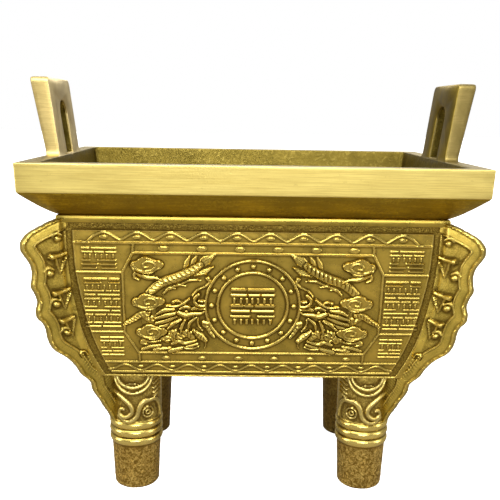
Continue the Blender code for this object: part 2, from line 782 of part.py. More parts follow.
# Teeth and knobs on both sides of a flange
def carve_flange(bm, signs):
    top = LEDGE_TOP_Z - FLANGE_TOP_GAP
    height = top - UNDERSIDE_Z
    for face in (-1, 1):
        place = flange_place(signs, face)
        lift = (FLANGE_THICKNESS - FLANGE_FIELD) / 2
        for down in (0.24, 0.47, 0.70):
            z = top - height * down
            size = FLANGE_REACH * (0.36 - 0.16 * down)
            boss(bm, place, [(size * 0.25, z + size * 0.5), (size * 0.7, z - size * 0.9),
                             (size * 1.6, z + size * 0.3)], lift, 0.8)
        if signs[1] > 0:
            continue
        for down in (0.11, 0.35, 0.58):
            z = top - height * down
            size = FLANGE_REACH * (0.44 - 0.2 * down)
            bead(bm, place, size, z, STUD_RADIUS * 1.1, STUD_RADIUS * 1.1, lift, 5)


def cut(target, cutter):
    modifier = target.modifiers.new(cutter.name, "BOOLEAN")
    modifier.operation = "DIFFERENCE"
    modifier.object = cutter
    modifier.solver = "EXACT"


def join_all(target, collection):
    modifier = target.modifiers.new(collection.name, "BOOLEAN")
    modifier.operation = "UNION"
    modifier.operand_type = "COLLECTION"
    modifier.collection = collection
    modifier.solver = "EXACT"
    modifier.use_self = True


def carving(name, guides, draw, places=()):
    bm = bmesh.new()
    if not places:
        draw(bm)
    for place in places:
        draw(bm, place)
    as_guide(object_from(bm, name, guides))


def main():
    for existing in list(bpy.data.objects):
        bpy.data.objects.remove(existing, do_unlink=True)
    parts = new_collection("square_ding")
    added = new_collection("cutters")
    slots = new_collection("slot_cutters")
    vessel = make_vessel(parts)
    vessel.data.materials.append(brass_material())

    corners = [(x, y) for y in (-1, 1) for x in (-1, 1)]
    for x, y in corners:
        make_leg(x * LEG_X, y * LEG_Y, RING_COUNT if y < 0 else 0, added)
    for side in (-1, 1):
        make_handle(side, added, slots)
    for signs in corners:
        make_flange(signs, added)
    carving("front_carving", added, carve_front)
    carving("back_carving", added, carve_back)
    carving("side_carving", added, carve_side, ("left", "right"))
    carving("leg_carving", added, carve_leg, (-1, 1))
    carving("flange_carving", added, carve_flange, corners)
    join_all(vessel, added)


main()
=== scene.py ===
# Looks of the square ding: one brass casting with a carved front, scalloped corner flanges,
# two leaning handles, two ringed legs in front and two plain ones behind. Drawings are in
# millimetres on each surface.
import math
import bmesh
import bpy
import numpy as np
from mathutils import Matrix, Vector


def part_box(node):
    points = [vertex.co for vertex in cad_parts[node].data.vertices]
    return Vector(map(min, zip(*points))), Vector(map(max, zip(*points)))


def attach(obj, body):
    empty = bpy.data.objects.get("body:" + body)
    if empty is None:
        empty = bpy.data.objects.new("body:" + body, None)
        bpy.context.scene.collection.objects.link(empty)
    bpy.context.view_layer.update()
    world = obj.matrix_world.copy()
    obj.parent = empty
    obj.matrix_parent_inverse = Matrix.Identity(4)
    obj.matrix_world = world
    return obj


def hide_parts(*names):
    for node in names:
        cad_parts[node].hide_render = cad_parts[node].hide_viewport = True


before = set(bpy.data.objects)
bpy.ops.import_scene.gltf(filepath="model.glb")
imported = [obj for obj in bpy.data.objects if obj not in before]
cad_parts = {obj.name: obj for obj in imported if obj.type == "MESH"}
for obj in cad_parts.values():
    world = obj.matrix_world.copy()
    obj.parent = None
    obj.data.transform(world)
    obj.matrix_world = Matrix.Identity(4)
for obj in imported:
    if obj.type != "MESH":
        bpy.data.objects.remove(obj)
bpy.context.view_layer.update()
print("frame loaded")

# the casting's own sizes, as the frame has them
casting = {
    "height": 220.2, "rimWidth": 222.2, "rimDepth": 154.2, "rimTop": 179.3, "rimLow": 165.5,
    "rimWall": 9.0, "rimFlare": 0.5, "lean": 0.13, "ledgeTop": 153.6, "ledgeLow": 149.6,
    "ledgeOut": 1.0, "neckInset": 15.9, "bodyLow": 66.4, "floorTop": 72.4, "wall": 5.0,
    "taperWidth": 16.0, "taperDepth": 11.4, "powerWidth": 2.85, "powerDepth": 2.2,
    "legX": 62.7, "legY": 33.3, "legRadius": 13.9, "ringsLow": 25.2, "ringPitch": 4.65,
}
casting["ringsTop"] = casting["ringsLow"] + 3 * casting["ringPitch"]
boxLow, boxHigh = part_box("square_ding")
mm = (boxHigh.z - boxLow.z) / casting["height"]  # one millimetre of the drawings in the frame
pieces = []


def bodyShare(z):
    return np.clip((casting["ledgeLow"] - z) / (casting["ledgeLow"] - casting["bodyLow"]), 0, 1)


def halfWidth(z):
    top = casting["rimWidth"] / 2 - casting["neckInset"]
    return top - casting["taperWidth"] * bodyShare(z) ** casting["powerWidth"]


def halfDepth(z):
    top = casting["rimDepth"] / 2 - casting["neckInset"]
    return top - casting["taperDepth"] * bodyShare(z) ** casting["powerDepth"]


def smoothShare(t):
    return t * t * (3 - 2 * t)


def easeStep(x, low, high):
    return smoothShare(np.clip((x - low) / (high - low), 0, 1))


# smooth random unevenness from -1 to 1, with lumps of the given size
lattice = {"count": 97, "shiftU": 31.7, "shiftV": 17.3}


def unevenness(u, v, size, seed):
    count = lattice["count"]
    values = np.random.default_rng(seed).uniform(-1, 1, (count, count))
    p = np.asarray(u) / size + lattice["shiftU"]
    q = np.asarray(v) / size + lattice["shiftV"]
    i = np.floor(p).astype(int)
    j = np.floor(q).astype(int)
    s = smoothShare(p - i)
    t = smoothShare(q - j)
    i0, i1, j0, j1 = i % count, (i + 1) % count, j % count, (j + 1) % count
    low = values[i0, j0] * (1 - s) + values[i1, j0] * s
    high = values[i0, j1] * (1 - s) + values[i1, j1] * s
    return low * (1 - t) + high * t


# layers of unevenness on one surface, each as (amount, lump size, seed)
def layered(u, v, layers):
    return sum(amount * unevenness(u, v, size, seed) for amount, size, seed in layers)


# a half round hump over the share x, which is 0 in its middle and 1 at its edge
def hump(x):
    return np.sqrt(np.clip(1 - x ** 2, 0, 1))


# a smooth route through given points
def smoothRoute(points, closed=False, perSpan=6):
    p = np.array(points, float)
    if len(p) < 3:
        return p
    if closed:
        p = np.vstack([p[-1], p, p[0], p[1]])
    else:
        p = np.vstack([2 * p[0] - p[1], p, 2 * p[-1] - p[-2]])
    t = np.linspace(0, 1, perSpan, endpoint=False)[:, None]
    spans = []
    for a, b, c, d in zip(p, p[1:], p[2:], p[3:]):
        spans.append(0.5 * (2 * b + (c - a) * t + (2 * a - 5 * b + 4 * c - d) * t ** 2
                            + (3 * b - a - 3 * c + d) * t ** 3))
    return np.vstack(spans + [p[-2][None]])


# how far each place is from a route, how far along it, on which side, and how long the route is
def measureRoute(a, z, route):
    start = route[:-1]
    step = route[1:] - start
    length = np.maximum(np.hypot(step[:, 0], step[:, 1]), 1e-9)
    run = np.concatenate([[0], np.cumsum(length)])
    away = np.full(a.shape, 1e9)
    reached = np.zeros(a.shape)
    side = np.zeros(a.shape)
    for i in range(len(start)):
        da = a - start[i, 0]
        dz = z - start[i, 1]
        t = np.clip((da * step[i, 0] + dz * step[i, 1]) / length[i] ** 2, 0, 1)
        far = np.hypot(da - t * step[i, 0], dz - t * step[i, 1])
        closer = far < away
        away = np.where(closer, far, away)
        reached = np.where(closer, run[i] + t * length[i], reached)
        side = np.where(closer, np.sign(step[i, 0] * dz - step[i, 1] * da), side)
    return away, reached, side, run[-1]


# a relief is four grids: across, up, the height of the surface there and how matt it is
def newRelief(a, z):
    return {"a": a, "z": z, "h": np.zeros(a.shape), "matt": np.zeros(a.shape)}


def nearBy(relief, points, reach):
    low = np.min(points, axis=0) - reach
    high = np.max(points, axis=0) + reach
    a, z = relief["a"], relief["z"]
    return np.nonzero((a > low[0]) & (a < high[0]) & (z > low[1]) & (z < high[1]))


# a raised stroke: widths and heights run from its start to its end. One that goes over others sinks
# them beside it. Bumps across it are (pitch, depth, skew) and grooves along it are (count, depth).
strokeShape = {"reach": 0.75, "leastHalf": 0.05, "bumpPower": 1.6, "bumpSpread": 1.1, "sinkOut": 1.35,
               "sink": 0.55}


def stroke(relief, points, width, height, base=0.0, over=False, bumps=None, flat=0.0, rays=None,
           straight=False):
    route = np.array(points, float) if straight else smoothRoute(points)
    widths = np.atleast_1d(np.array(width, float))
    heights = np.atleast_1d(np.array(height, float))
    spot = nearBy(relief, route, widths.max() * strokeShape["reach"])
    if not len(spot[0]):
        return
    away, run, side, total = measureRoute(relief["a"][spot], relief["z"][spot], route)
    share = run / total
    half = np.interp(share, np.linspace(0, 1, len(widths)), widths) / 2
    lift = np.interp(share, np.linspace(0, 1, len(heights)), heights)
    x = away / np.maximum(half, strokeShape["leastHalf"])
    profile = hump(np.clip((x - flat) / (1 - flat), 0, 1))
    if bumps:
        pitch, depth, skew = bumps
        phase = (run / pitch + skew * x * side) % 1
        spread = np.clip(strokeShape["bumpSpread"] - x * x, 0, 1)
        profile = profile * (1 - depth * (1 - phase) ** strokeShape["bumpPower"] * spread)
    if rays:
        count, depth = rays
        profile = profile * (1 - depth * (0.5 + 0.5 * np.cos(count * math.pi * x * side)))
    h = relief["h"][spot]
    if over:
        h = np.where(x < strokeShape["sinkOut"], np.minimum(h, np.maximum(base, h * strokeShape["sink"])), h)
    relief["h"][spot] = np.where(x < 1, np.maximum(base + lift * profile, h), h)


def ovalSpot(relief, a, z, radiusA, radiusZ):
    return nearBy(relief, np.array([[a - radiusA, z - radiusZ], [a + radiusA, z + radiusZ]]), 0.1)


def dome(relief, a, z, radiusA, radiusZ, height, base=0.0):
    spot = ovalSpot(relief, a, z, radiusA, radiusZ)
    x = ((relief["a"][spot] - a) / radiusA) ** 2 + ((relief["z"][spot] - z) / radiusZ) ** 2
    raised = base + height * np.clip(1 - x, 0, 1) ** 0.5
    relief["h"][spot] = np.where(x < 1, np.maximum(raised, relief["h"][spot]), relief["h"][spot])


# a raised plate inside a closed outline, with a rounded edge, a low rim and a groove round it
plateShape = {"edge": 0.5, "rimWidth": 1.0, "rimIn": 0.55, "rimHalf": 0.45, "groove": 0.45,
              "grooveDepth": 0.1}


def plate(relief, outline, height, base, rim):
    route = smoothRoute(outline, closed=True)
    spot = nearBy(relief, route, 1.0)
    a, z = relief["a"][spot], relief["z"][spot]
    away = measureRoute(a, z, np.vstack([route, route[:1]]))[0]
    crossings = np.zeros(a.shape, int)
    for (p, q), (r, s) in zip(route, np.roll(route, -1, 0)):
        if q != s:
            crossings += ((z > q) != (z > s)) & (a < p + (r - p) * (z - q) / (s - q))
    inside = np.where(crossings % 2 == 1, away, -away)
    onRim = np.abs(inside / plateShape["rimWidth"] - plateShape["rimIn"]) / plateShape["rimHalf"]
    top = base + height * hump(1 - np.clip(inside / plateShape["edge"], 0, 1))
    top = top + rim * np.clip(1 - onRim, 0, 1)
    h = relief["h"][spot]
    inGroove = (inside < 0) & (inside > -plateShape["groove"])
    h = np.where(inGroove, np.minimum(h, base - plateShape["grooveDepth"]), h)
    relief["h"][spot] = np.where(inside > 0, np.maximum(top, np.minimum(h, base + height)), h)


# a cloud is a low plate with a lobed outline and a raised curl on it
cloudShape = {
    "outline": ((-8.3, 0.1), (-7.3, 1.9), (-5.2, 2.5), (-3.6, 4.0), (-0.9, 4.7), (1.9, 3.9), (4.2, 3.0),
                (6.9, 2.5), (8.4, 0.6), (7.2, -1.3), (5.0, -2.4), (3.2, -3.8), (0.2, -4.4), (-2.8, -3.9),
                (-5.6, -2.7), (-7.6, -1.6)),
    "height": 0.75, "rim": 0.3,
    "curl": ((0.5, -0.7), (-0.9, -0.9), (-1.9, 0.1), (-1.2, 1.5), (0.9, 2.1), (3.4, 1.4), (4.2, -0.4),
             (2.6, -2.1), (-0.4, -2.8), (-3.4, -2.6), (-5.6, -1.3), (-6.6, 0.2)),
    "curlWidth": (0.9, 1.1, 1.1, 0.8), "curlHeight": 0.5, "curlSunk": 0.05, "ground": 0.3,
}


def cloud(relief, a, z, flip, size=1.0):
    def spots(points):
        return [(a + flip * x * size, z + y * size) for x, y in points]
    ground, height = cloudShape["ground"], cloudShape["height"]
    plate(relief, spots(cloudShape["outline"]), height, ground, cloudShape["rim"])
    stroke(relief, spots(cloudShape["curl"]), np.array(cloudShape["curlWidth"]) * size,
           cloudShape["curlHeight"], base=ground + height - cloudShape["curlSunk"])


# the dragon, its head towards the medallion: points are across towards the medallion and up from
# the dragon's middle. Each stroke is (points, widths, heights, base, extras), each knob is
# (across, up, radius, height) and each cloud is (across, up, size).
dragon = {
    "across": 43.0, "up": 109.0,
    "strokes": (
        (((-8, -9), (2, -8), (12, -5)), (10, 13, 9), 0.45, 0.25, {}),
        (((-2, -17), (8, -17), (15, -16)), (8, 9, 6), 0.4, 0.25, {}),
        (((8.8, 17.6), (10.2, 21.6), (11.8, 25.0)), (1.4, 2.4, 0.7), 0.7, 0.3, {"rays": (2, 0.3)}),
        (((12.2, 19.6), (13.6, 22.4), (15.2, 25.0)), (1.2, 2.3, 0.8), 0.7, 0.3, {"rays": (2, 0.3)}),
        (((15.6, 19.4), (19.6, 22.6), (24.0, 25.6)), (3.4, 5.2, 0.9), 1.0, 0.3, {"rays": (4, 0.35)}),
        (((13.4, 15.4), (18.8, 16.6), (23.4, 19.6)), (1.6, 2.9, 0.8), 0.9, 0.3, {"rays": (3, 0.3)}),
        (((7.4, 10.6), (11.6, 12.4), (16.9, 12.5)), (1.2, 1.6, 0.7), 0.8, 0.3, {}),
        (((1.4, 7.6), (5.4, 9.9), (9.8, 9.4)), (1.2, 1.6, 0.7), 0.8, 0.3, {}),
        (((-1.6, 5.2), (1.4, 8.2), (4.8, 7.9)), (1.1, 1.5, 0.7), 0.8, 0.3, {}),
        (((16.5, 20.2), (11.5, 16.7), (5.0, 13.6), (-1.1, 11.4), (-5.1, 8.8), (-8.6, 5.6)),
         (3.6, 4.4, 4.8, 4.6, 4.4, 4.0), (1.4, 1.6, 1.6, 1.5, 1.4, 1.1), 0.2,
         {"bumps": (2.4, 0.6, 0.55), "over": True}),
        (((17.0, 21.9), (11.2, 18.5), (4.4, 15.4), (-1.9, 13.2), (-6.4, 10.4)),
         (0.9, 1.0, 1.0, 0.9), 0.95, 0.35, {}),
        (((-20.8, -10.9), (-17.0, -8.8), (-13.8, -6.5), (-9.8, -5.4)), (2.2, 2.8, 3.2, 3.4),
         1.3, 0.25, {"bumps": (1.7, 0.5, 0.5), "over": True}),
        (((-12.6, -6.0), (-8.4, -9.2), (-5.8, -7.6)), (2.6, 3.0, 2.4), 1.0, 0.3,
         {"bumps": (1.7, 0.5, 0.5)}),
        (((-0.4, -19.6), (2.5, -16.4), (5.5, -18.0), (9.5, -16.4), (12.6, -18.6)),
         (4.0, 4.4, 4.2, 3.8, 3.0), (1.2, 1.4, 1.3, 1.3, 1.0), 0.3,
         {"bumps": (2.1, 0.55, 0.5), "over": True}),
        (((-3.4, -19.8), (0.8, -18.6), (3.8, -20.6)), (2.2, 2.8, 1.8), 1.2, 0.3,
         {"bumps": (1.7, 0.5, 0.5)}),
        (((13.1, -14.0), (15.2, -16.4), (19.4, -20.0)), (1.6, 3.6, 2.6), 1.5, 0.3,
         {"bumps": (1.8, 0.45, 0.4), "over": True}),
        (((19.0, -20.0), (19.4, -23.0), (18.6, -25.0)), (1.0, 0.8, 0.5), 0.6, 0.3, {}),
        (((-13.2, -25.6), (-8.9, -24.1), (-3.9, -23.2)), (1.4, 1.9, 1.4), 1.0, 0.3, {"over": True}),
        (((-7.0, -25.8), (-3.1, -25.2), (1.2, -24.6)), (1.8, 1.6, 1.2), 1.1, 0.3, {"over": True}),
        (((2.2, -22.2), (5.8, -20.8), (9.0, -21.9), (14.6, -20.2)), (1.6, 2.2, 1.8, 1.2), 1.1, 0.3,
         {"over": True}),
        (((1.2, -26.4), (5.5, -25.1), (9.5, -24.0), (15.2, -22.0)), (2.6, 2.0, 1.8, 1.5), 1.3, 0.3,
         {"over": True}),
        (((8.6, -24.6), (12.4, -24.8), (15.6, -23.6)), (1.2, 1.5, 1.1), 1.0, 0.3, {"over": True}),
        (((18.2, -10.0), (20.4, -10.4), (21.8, -9.8)), (2.0, 2.2, 1.8), 1.2, 0.3, {"over": True}),
        (((18.6, -11.4), (20.4, -12.8), (21.8, -15.6), (23.6, -18.0)), (2.2, 2.4, 2.2, 1.6), 1.3,
         0.3, {"bumps": (2.2, 0.6, 0.0)}),
        (((15.2, -7.6), (15.8, -11.7), (17.9, -14.6)), (1.0, 1.3, 0.9), 0.9, 0.3, {"over": True}),
        (((20.2, 13.4), (21.4, 11.8), (19.6, 9.4), (15.4, 7.4), (13.1, 4.4)),
         (1.9, 1.3, 1.1, 1.2, 1.4), (1.2, 0.9, 0.8, 0.9, 1.0), 0.3, {"over": True}),
        (((-4.6, -12.8), (0.6, -11.4), (5.7, -8.4)), (1.4, 2.2, 1.6), 1.1, 0.4, {"over": True}),
        (((-5.6, -10.4), (-0.4, -9.2), (5.4, -6.4)), (1.4, 2.3, 1.6), 1.2, 0.4, {"over": True}),
        (((-5.9, -7.9), (-0.4, -6.3), (5.3, -4.9)), (1.4, 2.5, 1.6), 1.3, 0.4, {"over": True}),
        (((-5.0, -5.4), (-1.3, -3.6), (3.6, -2.8)), (1.4, 2.4, 1.5), 1.2, 0.4, {"over": True}),
        (((-0.2, -0.9), (4.2, -1.3), (7.7, -0.2), (11.2, 2.6)), (1.1, 1.5, 1.7, 1.4), 1.3, 0.4,
         {"over": True}),
        (((3.4, 1.2), (5.4, 1.6), (7.4, 0.8)), (1.0, 1.2, 0.8), 0.9, 0.4, {}),
        (((0.1, -13.6), (3.3, -10.6), (6.8, -8.6)), (1.2, 2.6, 1.8), 1.4, 0.4,
         {"over": True, "rays": (3, 0.25)}),
        (((6.8, -15.8), (7.3, -12.3), (9.0, -8.7)), (1.0, 2.3, 1.6), 1.4, 0.4,
         {"over": True, "rays": (2, 0.25)}),
        (((10.5, -14.4), (11.2, -10.5), (14.9, -7.1)), (1.0, 2.0, 1.4), 1.3, 0.4, {"over": True}),
        (((6.2, -4.8), (9.4, -6.0), (12.6, -5.3), (16.9, -5.0), (18.6, -4.0)),
         (2.8, 3.0, 2.4, 2.0, 1.2), (1.4, 1.6, 1.5, 1.3, 1.0), 0.4, {"over": True}),
        (((6.6, -2.4), (9.2, -1.2), (11.6, -1.6), (12.6, -3.0)), (1.5, 1.7, 1.5, 1.1), 1.7, 0.4,
         {"over": True}),
        (((12.8, -2.6), (14.8, -1.6), (17.2, -2.2), (20.8, -2.4)), (1.8, 2.2, 1.7, 1.0), 1.5, 0.4,
         {"over": True}),
        (((15.9, 5.2), (14.2, 3.6), (13.9, 1.2), (15.6, -0.5), (18.6, -0.9), (20.4, 0.4)),
         (1.8, 1.9, 1.8, 1.7, 1.5, 1.1), (1.6, 1.5, 1.4, 1.4, 1.3, 1.0), 0.4, {"over": True}),
        (((15.8, 1.9), (17.4, 1.5), (19.2, 1.9)), (1.1, 1.2, 0.8), 1.1, 0.4, {}),
    ),
    "knobs": ((9.7, -3.9, 1.0, 1.5), (20.8, 13.6, 0.9, 1.1), (15.6, 4.9, 1.0, 1.4), (3.2, 0.9, 0.8, 0.9),
              (-2.2, -3.6, 0.9, 1.1), (-9.4, -8.8, 1.1, 1.1), (-7.6, -7.4, 1.0, 1.1),
              (-5.0, -25.0, 1.1, 1.2), (6.6, -13.4, 0.8, 1.2), (9.6, -14.8, 0.9, 1.2),
              (4.2, -14.6, 0.9, 1.2), (12.0, -15.6, 0.9, 1.1)),
    "clouds": ((-9.6, 19.7, 1.0), (-9.3, 0.6, 1.0), (-8.0, -15.8, 0.97)),
    "cloudTails": ((((-1.4, 11.8), (-5.0, 13.3), (-9.6, 13.5), (-14.8, 15.9), (-16.0, 13.6), (-13.4, 12.3)),
                    (0.9, 1.4, 2.2, 2.4, 1.5, 0.9)),
                   (((-3.4, -20.4), (-7.4, -21.2), (-11.6, -20.4), (-13.4, -21.8), (-10.6, -22.6)),
                    (0.9, 1.4, 2.2, 1.8, 1.0))),
    "knobBase": 0.5, "tailHeight": 0.85, "tailBase": 0.3,
}


def carveDragon(relief, flip):
    def spots(points):
        return [(flip * (dragon["across"] - p), dragon["up"] + q) for p, q in points]
    for points, widths, heights, base, extras in dragon["strokes"]:
        stroke(relief, spots(points), widths, heights, base, **extras)
    for p, q, r, height in dragon["knobs"]:
        a, z = spots([(p, q)])[0]
        dome(relief, a, z, r, r, height, dragon["knobBase"])
    for points, widths in dragon["cloudTails"]:
        stroke(relief, spots(points), widths, dragon["tailHeight"], dragon["tailBase"], over=True)
    for p, q, size in dragon["clouds"]:
        a, z = spots([(p, q)])[0]
        cloud(relief, a, z, -flip, size)


# rows of plain shallow strokes, one row in four of uprights
blockShape = {"uprightPitch": 2.7, "uprightHalf": 0.3, "uprightDrift": 0.1, "cuts": (0.2, 0.8), "gap": 0.04,
              "shortest": 0.1, "flat": 0.4, "lineWidth": 1.0, "lift": 0.42, "base": 0.3}


def strokeBlock(relief, a, z, width, height, rows, seed, lineWidth=blockShape["lineWidth"],
                lift=blockShape["lift"], base=blockShape["base"]):
    draw = np.random.default_rng(seed)
    pitch = height / rows
    left = a - width / 2
    for row in range(rows):
        up = z + height / 2 - pitch * (row + 0.5)
        lines = []
        if row % 4 == 2:
            count = int(width / blockShape["uprightPitch"])
            drift, half = blockShape["uprightDrift"], blockShape["uprightHalf"] * pitch
            for i in range(count):
                across = left + width * ((i + 0.5) / count + draw.uniform(-drift, drift) / count)
                lines.append([(across, up - half), (across, up + half)])
        else:
            cuts = np.sort(draw.uniform(*blockShape["cuts"], 1 + row % 2))
            starts = np.concatenate([[0.0], cuts + blockShape["gap"]])
            ends = np.concatenate([cuts - blockShape["gap"], [1.0]])
            lines = [[(left + width * start, up), (left + width * end, up)]
                     for start, end in zip(starts, ends) if end - start > blockShape["shortest"]]
        for line in lines:
            stroke(relief, line, lineWidth, lift, base, flat=blockShape["flat"], straight=True)


front = {
    "bandOut": ((66, 4.0), (92, 4.1), (105, 4.1), (120, 3.8), (132, 3.6), (149.6, 3.4)),
    "bandWidth": ((66, 4.5), (93, 4.3), (110, 4.4), (125, 3.7), (142, 3.5), (149.6, 3.5)),
    "frameTop": 146.0, "frameLow": 69.5,
    "rows": (139.9, 134.8, 81.3, 75.9), "middle": 108.0,
    "ground": 0.3, "band": -0.15, "border": 0.4, "borderSoft": 0.5, "panelSoft": (-0.45, 0.1),
    # the band just under the ledge is made more matt over this rise: rougher and grainier, and darker as
    # painted shade
    "lowBorder": (1.0, 1.6), "underLedgeShade": (0.6, 1.4), "ledgeShadeShare": 0.5, "lowLineUp": 0.3,
    # the lines as width, height, base and flat share, the panel's own edge as width, height and base
    "line": (1.25, 0.6, 0.2, 0.2), "panelEdge": (0.8, 0.25, 0.3),
    # the band's matt grain and the whole face's slow unevenness
    "grain": ((0.07, 0.55, 4), (0.05, 1.1, 5)), "uneven": ((0.025, 3.2, 6), (0.012, 1.0, 7)),
    # waves as pitch, crests, lowest and highest height, how far out and how high they end and how
    # round their crests are, beads as shift, pitch, count, radii and height
    "topWave": (16.35, 10, 141.3, 145.2, 84.6, 139.9, 0.55),
    "lowWave": (16.4, 9, 70.7, 74.2, 73.2, 71.1, 0.25),
    "beads": ((0.0, 16.35, 10, 1.9, 1.0, 142.8), (0.0, 16.4, 8, 1.7, 0.75, 73.2),
              (2.7, 18.85, 6, 2.35, 1.35, 137.3), (2.5, 18.7, 6, 2.1, 1.0, 78.3)),
    "beadHeight": 0.75, "beadBase": 0.25, "beadDish": 0.3, "beadGrow": 1.08, "beadDishDown": 0.15,
    "beadDishShare": 0.5,
    "medallion": 23.7, "innerRing": 17.6, "ringWidth": 1.5, "ringHeight": 0.95, "ringBase": 0.25,
    "ringFlat": 0.15, "studs": 16, "studRadius": 1.2, "studHeight": 1.15, "dish": 0.35, "dishLevel": 0.2,
    "dishStep": 0.1, "dishEdge": 1.2, "dishUneven": ((0.02, 2.4, 11),),
    "middleBlock": {"width": 21.0, "height": 20.0, "rows": 7, "seed": 2, "lineWidth": 1.5,
                    "lift": 0.75, "base": 0.0},
    "divider": ((59.2, 139.9), (59.7, 134.8), (64.8, 125.0), (64.7, 112.8), (64.6, 92.8), (57.7, 81.0),
                (57.6, 75.9)),
    "crossLines": ((64.8, 124.9), (64.6, 93.0)),
    # blocks of strokes as across, up, width, height, rows and seed
    "blocks": ((76.1, 132.1, 16.5, 12.2, 6, 3), (75.2, 108.8, 17.2, 27.6, 13, 5),
               (71.4, 84.9, 11.4, 12.0, 6, 8)),
}


def along(steps, z):
    return np.interp(z, *zip(*steps))


def panelReach(reach, z):
    return reach(z) - along(front["bandOut"], z) - along(front["bandWidth"], z)


# the recessed matt band, the raised border outside it and the panel's own edge line
def carveFrame(relief, reach):
    a, z = relief["a"], relief["z"]
    gap = reach(z) - np.abs(a)
    out = along(front["bandOut"], z)
    aboveLow = easeStep(z - casting["bodyLow"], *front["lowBorder"])
    outside = np.maximum(1 - easeStep(gap - out, -front["borderSoft"], 0), 1 - aboveLow)
    panelGap = np.minimum(gap - out - along(front["bandWidth"], z),
                          np.minimum(front["frameTop"] - z, z - front["frameLow"]))
    panel = easeStep(panelGap, *front["panelSoft"])
    level = front["band"] + layered(a, z, front["grain"]) * (1 - panel)
    level = level + (front["ground"] - front["band"]) * panel
    level = level + (front["border"] - front["band"]) * outside
    relief["h"] = level + layered(a, z, front["uneven"])
    # more matt just under the ledge: rougher and grainier, and darker as painted shade
    underLedgeShade = 1 + front["ledgeShadeShare"] * easeStep(z - front["frameTop"], *front["underLedgeShade"])
    relief["matt"] = np.clip((1 - panel) * (1 - outside), 0, 1) * underLedgeShade
    heights = np.linspace(front["frameLow"], front["frameTop"], 12)
    side = [(panelReach(reach, v), v) for v in heights]
    loop = [(-p, v) for p, v in side] + side[::-1]
    stroke(relief, loop + loop[:1], *front["panelEdge"], straight=True)
    edge = panelReach(reach, front["frameLow"])
    levelLine(relief, front["frameLow"] + front["lowLineUp"], -edge, edge)


def thinLine(relief, points):
    width, height, base, flat = front["line"]
    stroke(relief, points, width, height, base, flat=flat, straight=True)


def levelLine(relief, z, left, right):
    rows = relief["z"][:, 0]
    z = rows[np.argmin(np.abs(rows - z))]  # on a row of the grid, so that it comes out even
    thinLine(relief, [(left, z), (right, z)])


def linesAcross(relief, reach, heights):
    for z in heights:
        edge = panelReach(reach, z)
        levelLine(relief, z, -edge, edge)


def waveRow(relief, pitch, crests, low, high, endOut, endHeight, crestRound):
    last = pitch * (crests - 1) / 2
    across = np.linspace(-last - pitch * 0.3, last + pitch * 0.3, 16 * crests)
    turn = (across - last) / pitch * math.pi
    swing = (1 - crestRound) * np.cos(2 * turn) + crestRound * (2 * np.abs(np.cos(turn)) - 1)
    points = list(zip(across, (low + high) / 2 + (high - low) / 2 * swing))
    half = (last + pitch * 0.5, endHeight + 0.25)
    thinLine(relief, [(-endOut, endHeight), (-half[0], half[1])] + points + [half, (endOut, endHeight)])


# low oval beads in a row, each a little dished in its middle
def beadRow(relief, shift, pitch, count, radiusA, radiusZ, z):
    height = front["beadHeight"]
    for i in range(count):
        a = shift + pitch * (i - (count - 1) / 2)
        grow = front["beadGrow"]
        dome(relief, a, z, radiusA * grow, radiusZ * grow, height, front["beadBase"])
        spot = ovalSpot(relief, a, z, radiusA, radiusZ)
        down = relief["z"][spot] - z + front["beadDishDown"]
        x = ((relief["a"][spot] - a) / radiusA) ** 2 + (down / radiusZ) ** 2
        relief["h"][spot] -= front["beadDish"] * height * np.clip(1 - x / front["beadDishShare"], 0, 1)


def ring(relief, radius, width=front["ringWidth"], height=front["ringHeight"], a=0.0, z=front["middle"]):
    route = [(a + radius * math.cos(t), z + radius * math.sin(t)) for t in np.linspace(0, 2 * math.pi, 73)]
    stroke(relief, route, width, height, front["ringBase"], flat=front["ringFlat"], straight=True)


def carveMedallion(relief):
    r = np.hypot(relief["a"], relief["z"] - front["middle"])
    inner, outer = front["innerRing"], front["medallion"]
    level = front["dishLevel"] + front["dishStep"] * easeStep(r, inner - front["dishEdge"], inner)
    level = level - front["dish"] * np.clip(1 - (r / inner) ** 2, 0, 1)
    level = level + layered(relief["a"], relief["z"], front["dishUneven"])
    relief["h"] = np.where(r < outer, level, relief["h"])
    for radius in (outer, inner):
        ring(relief, radius)
    middle = (inner + outer) / 2
    for i in range(front["studs"]):
        angle = 2 * math.pi * i / front["studs"]
        dome(relief, middle * math.sin(angle), front["middle"] + middle * math.cos(angle),
             front["studRadius"], front["studRadius"], front["studHeight"], front["beadBase"])
    strokeBlock(relief, 0.0, front["middle"], **front["middleBlock"])


def carveFront(relief):
    high, fieldHigh, fieldLow, low = front["rows"]
    carveFrame(relief, halfWidth)
    linesAcross(relief, halfWidth, (high, low))
    for z, out in ((fieldHigh, front["divider"][1][0]), (fieldLow, front["divider"][-2][0])):
        levelLine(relief, z, -out, out)
    waveRow(relief, *front["topWave"])
    waveRow(relief, *front["lowWave"])
    for beads in front["beads"]:
        beadRow(relief, *beads)
    for flip in (-1, 1):
        thinLine(relief, [(flip * a, z) for a, z in front["divider"]])
        for a, z in front["crossLines"]:
            edge = panelReach(halfWidth, z)
            levelLine(relief, z, min(flip * a, flip * edge), max(flip * a, flip * edge))
        for a, z, *rest in front["blocks"]:
            strokeBlock(relief, flip * a, z, *rest)
        carveDragon(relief, flip)
    carveMedallion(relief)


# the sides that the photo doesn't show, plainer than the front
hidden = {"cloudUp": 13.0, "sideRing": 19.0}


def carveBack(relief):
    carveFrame(relief, halfWidth)
    linesAcross(relief, halfWidth, front["rows"])
    beadRow(relief, 0.0, *front["beads"][2][1:])
    ring(relief, front["medallion"])
    for flip in (-1, 1):
        for up in (-hidden["cloudUp"], hidden["cloudUp"]):
            cloud(relief, flip * dragon["across"], front["middle"] + up, flip)


def carveSide(relief):
    carveFrame(relief, halfDepth)
    linesAcross(relief, halfDepth, front["rows"][1:3])
    ring(relief, hidden["sideRing"])


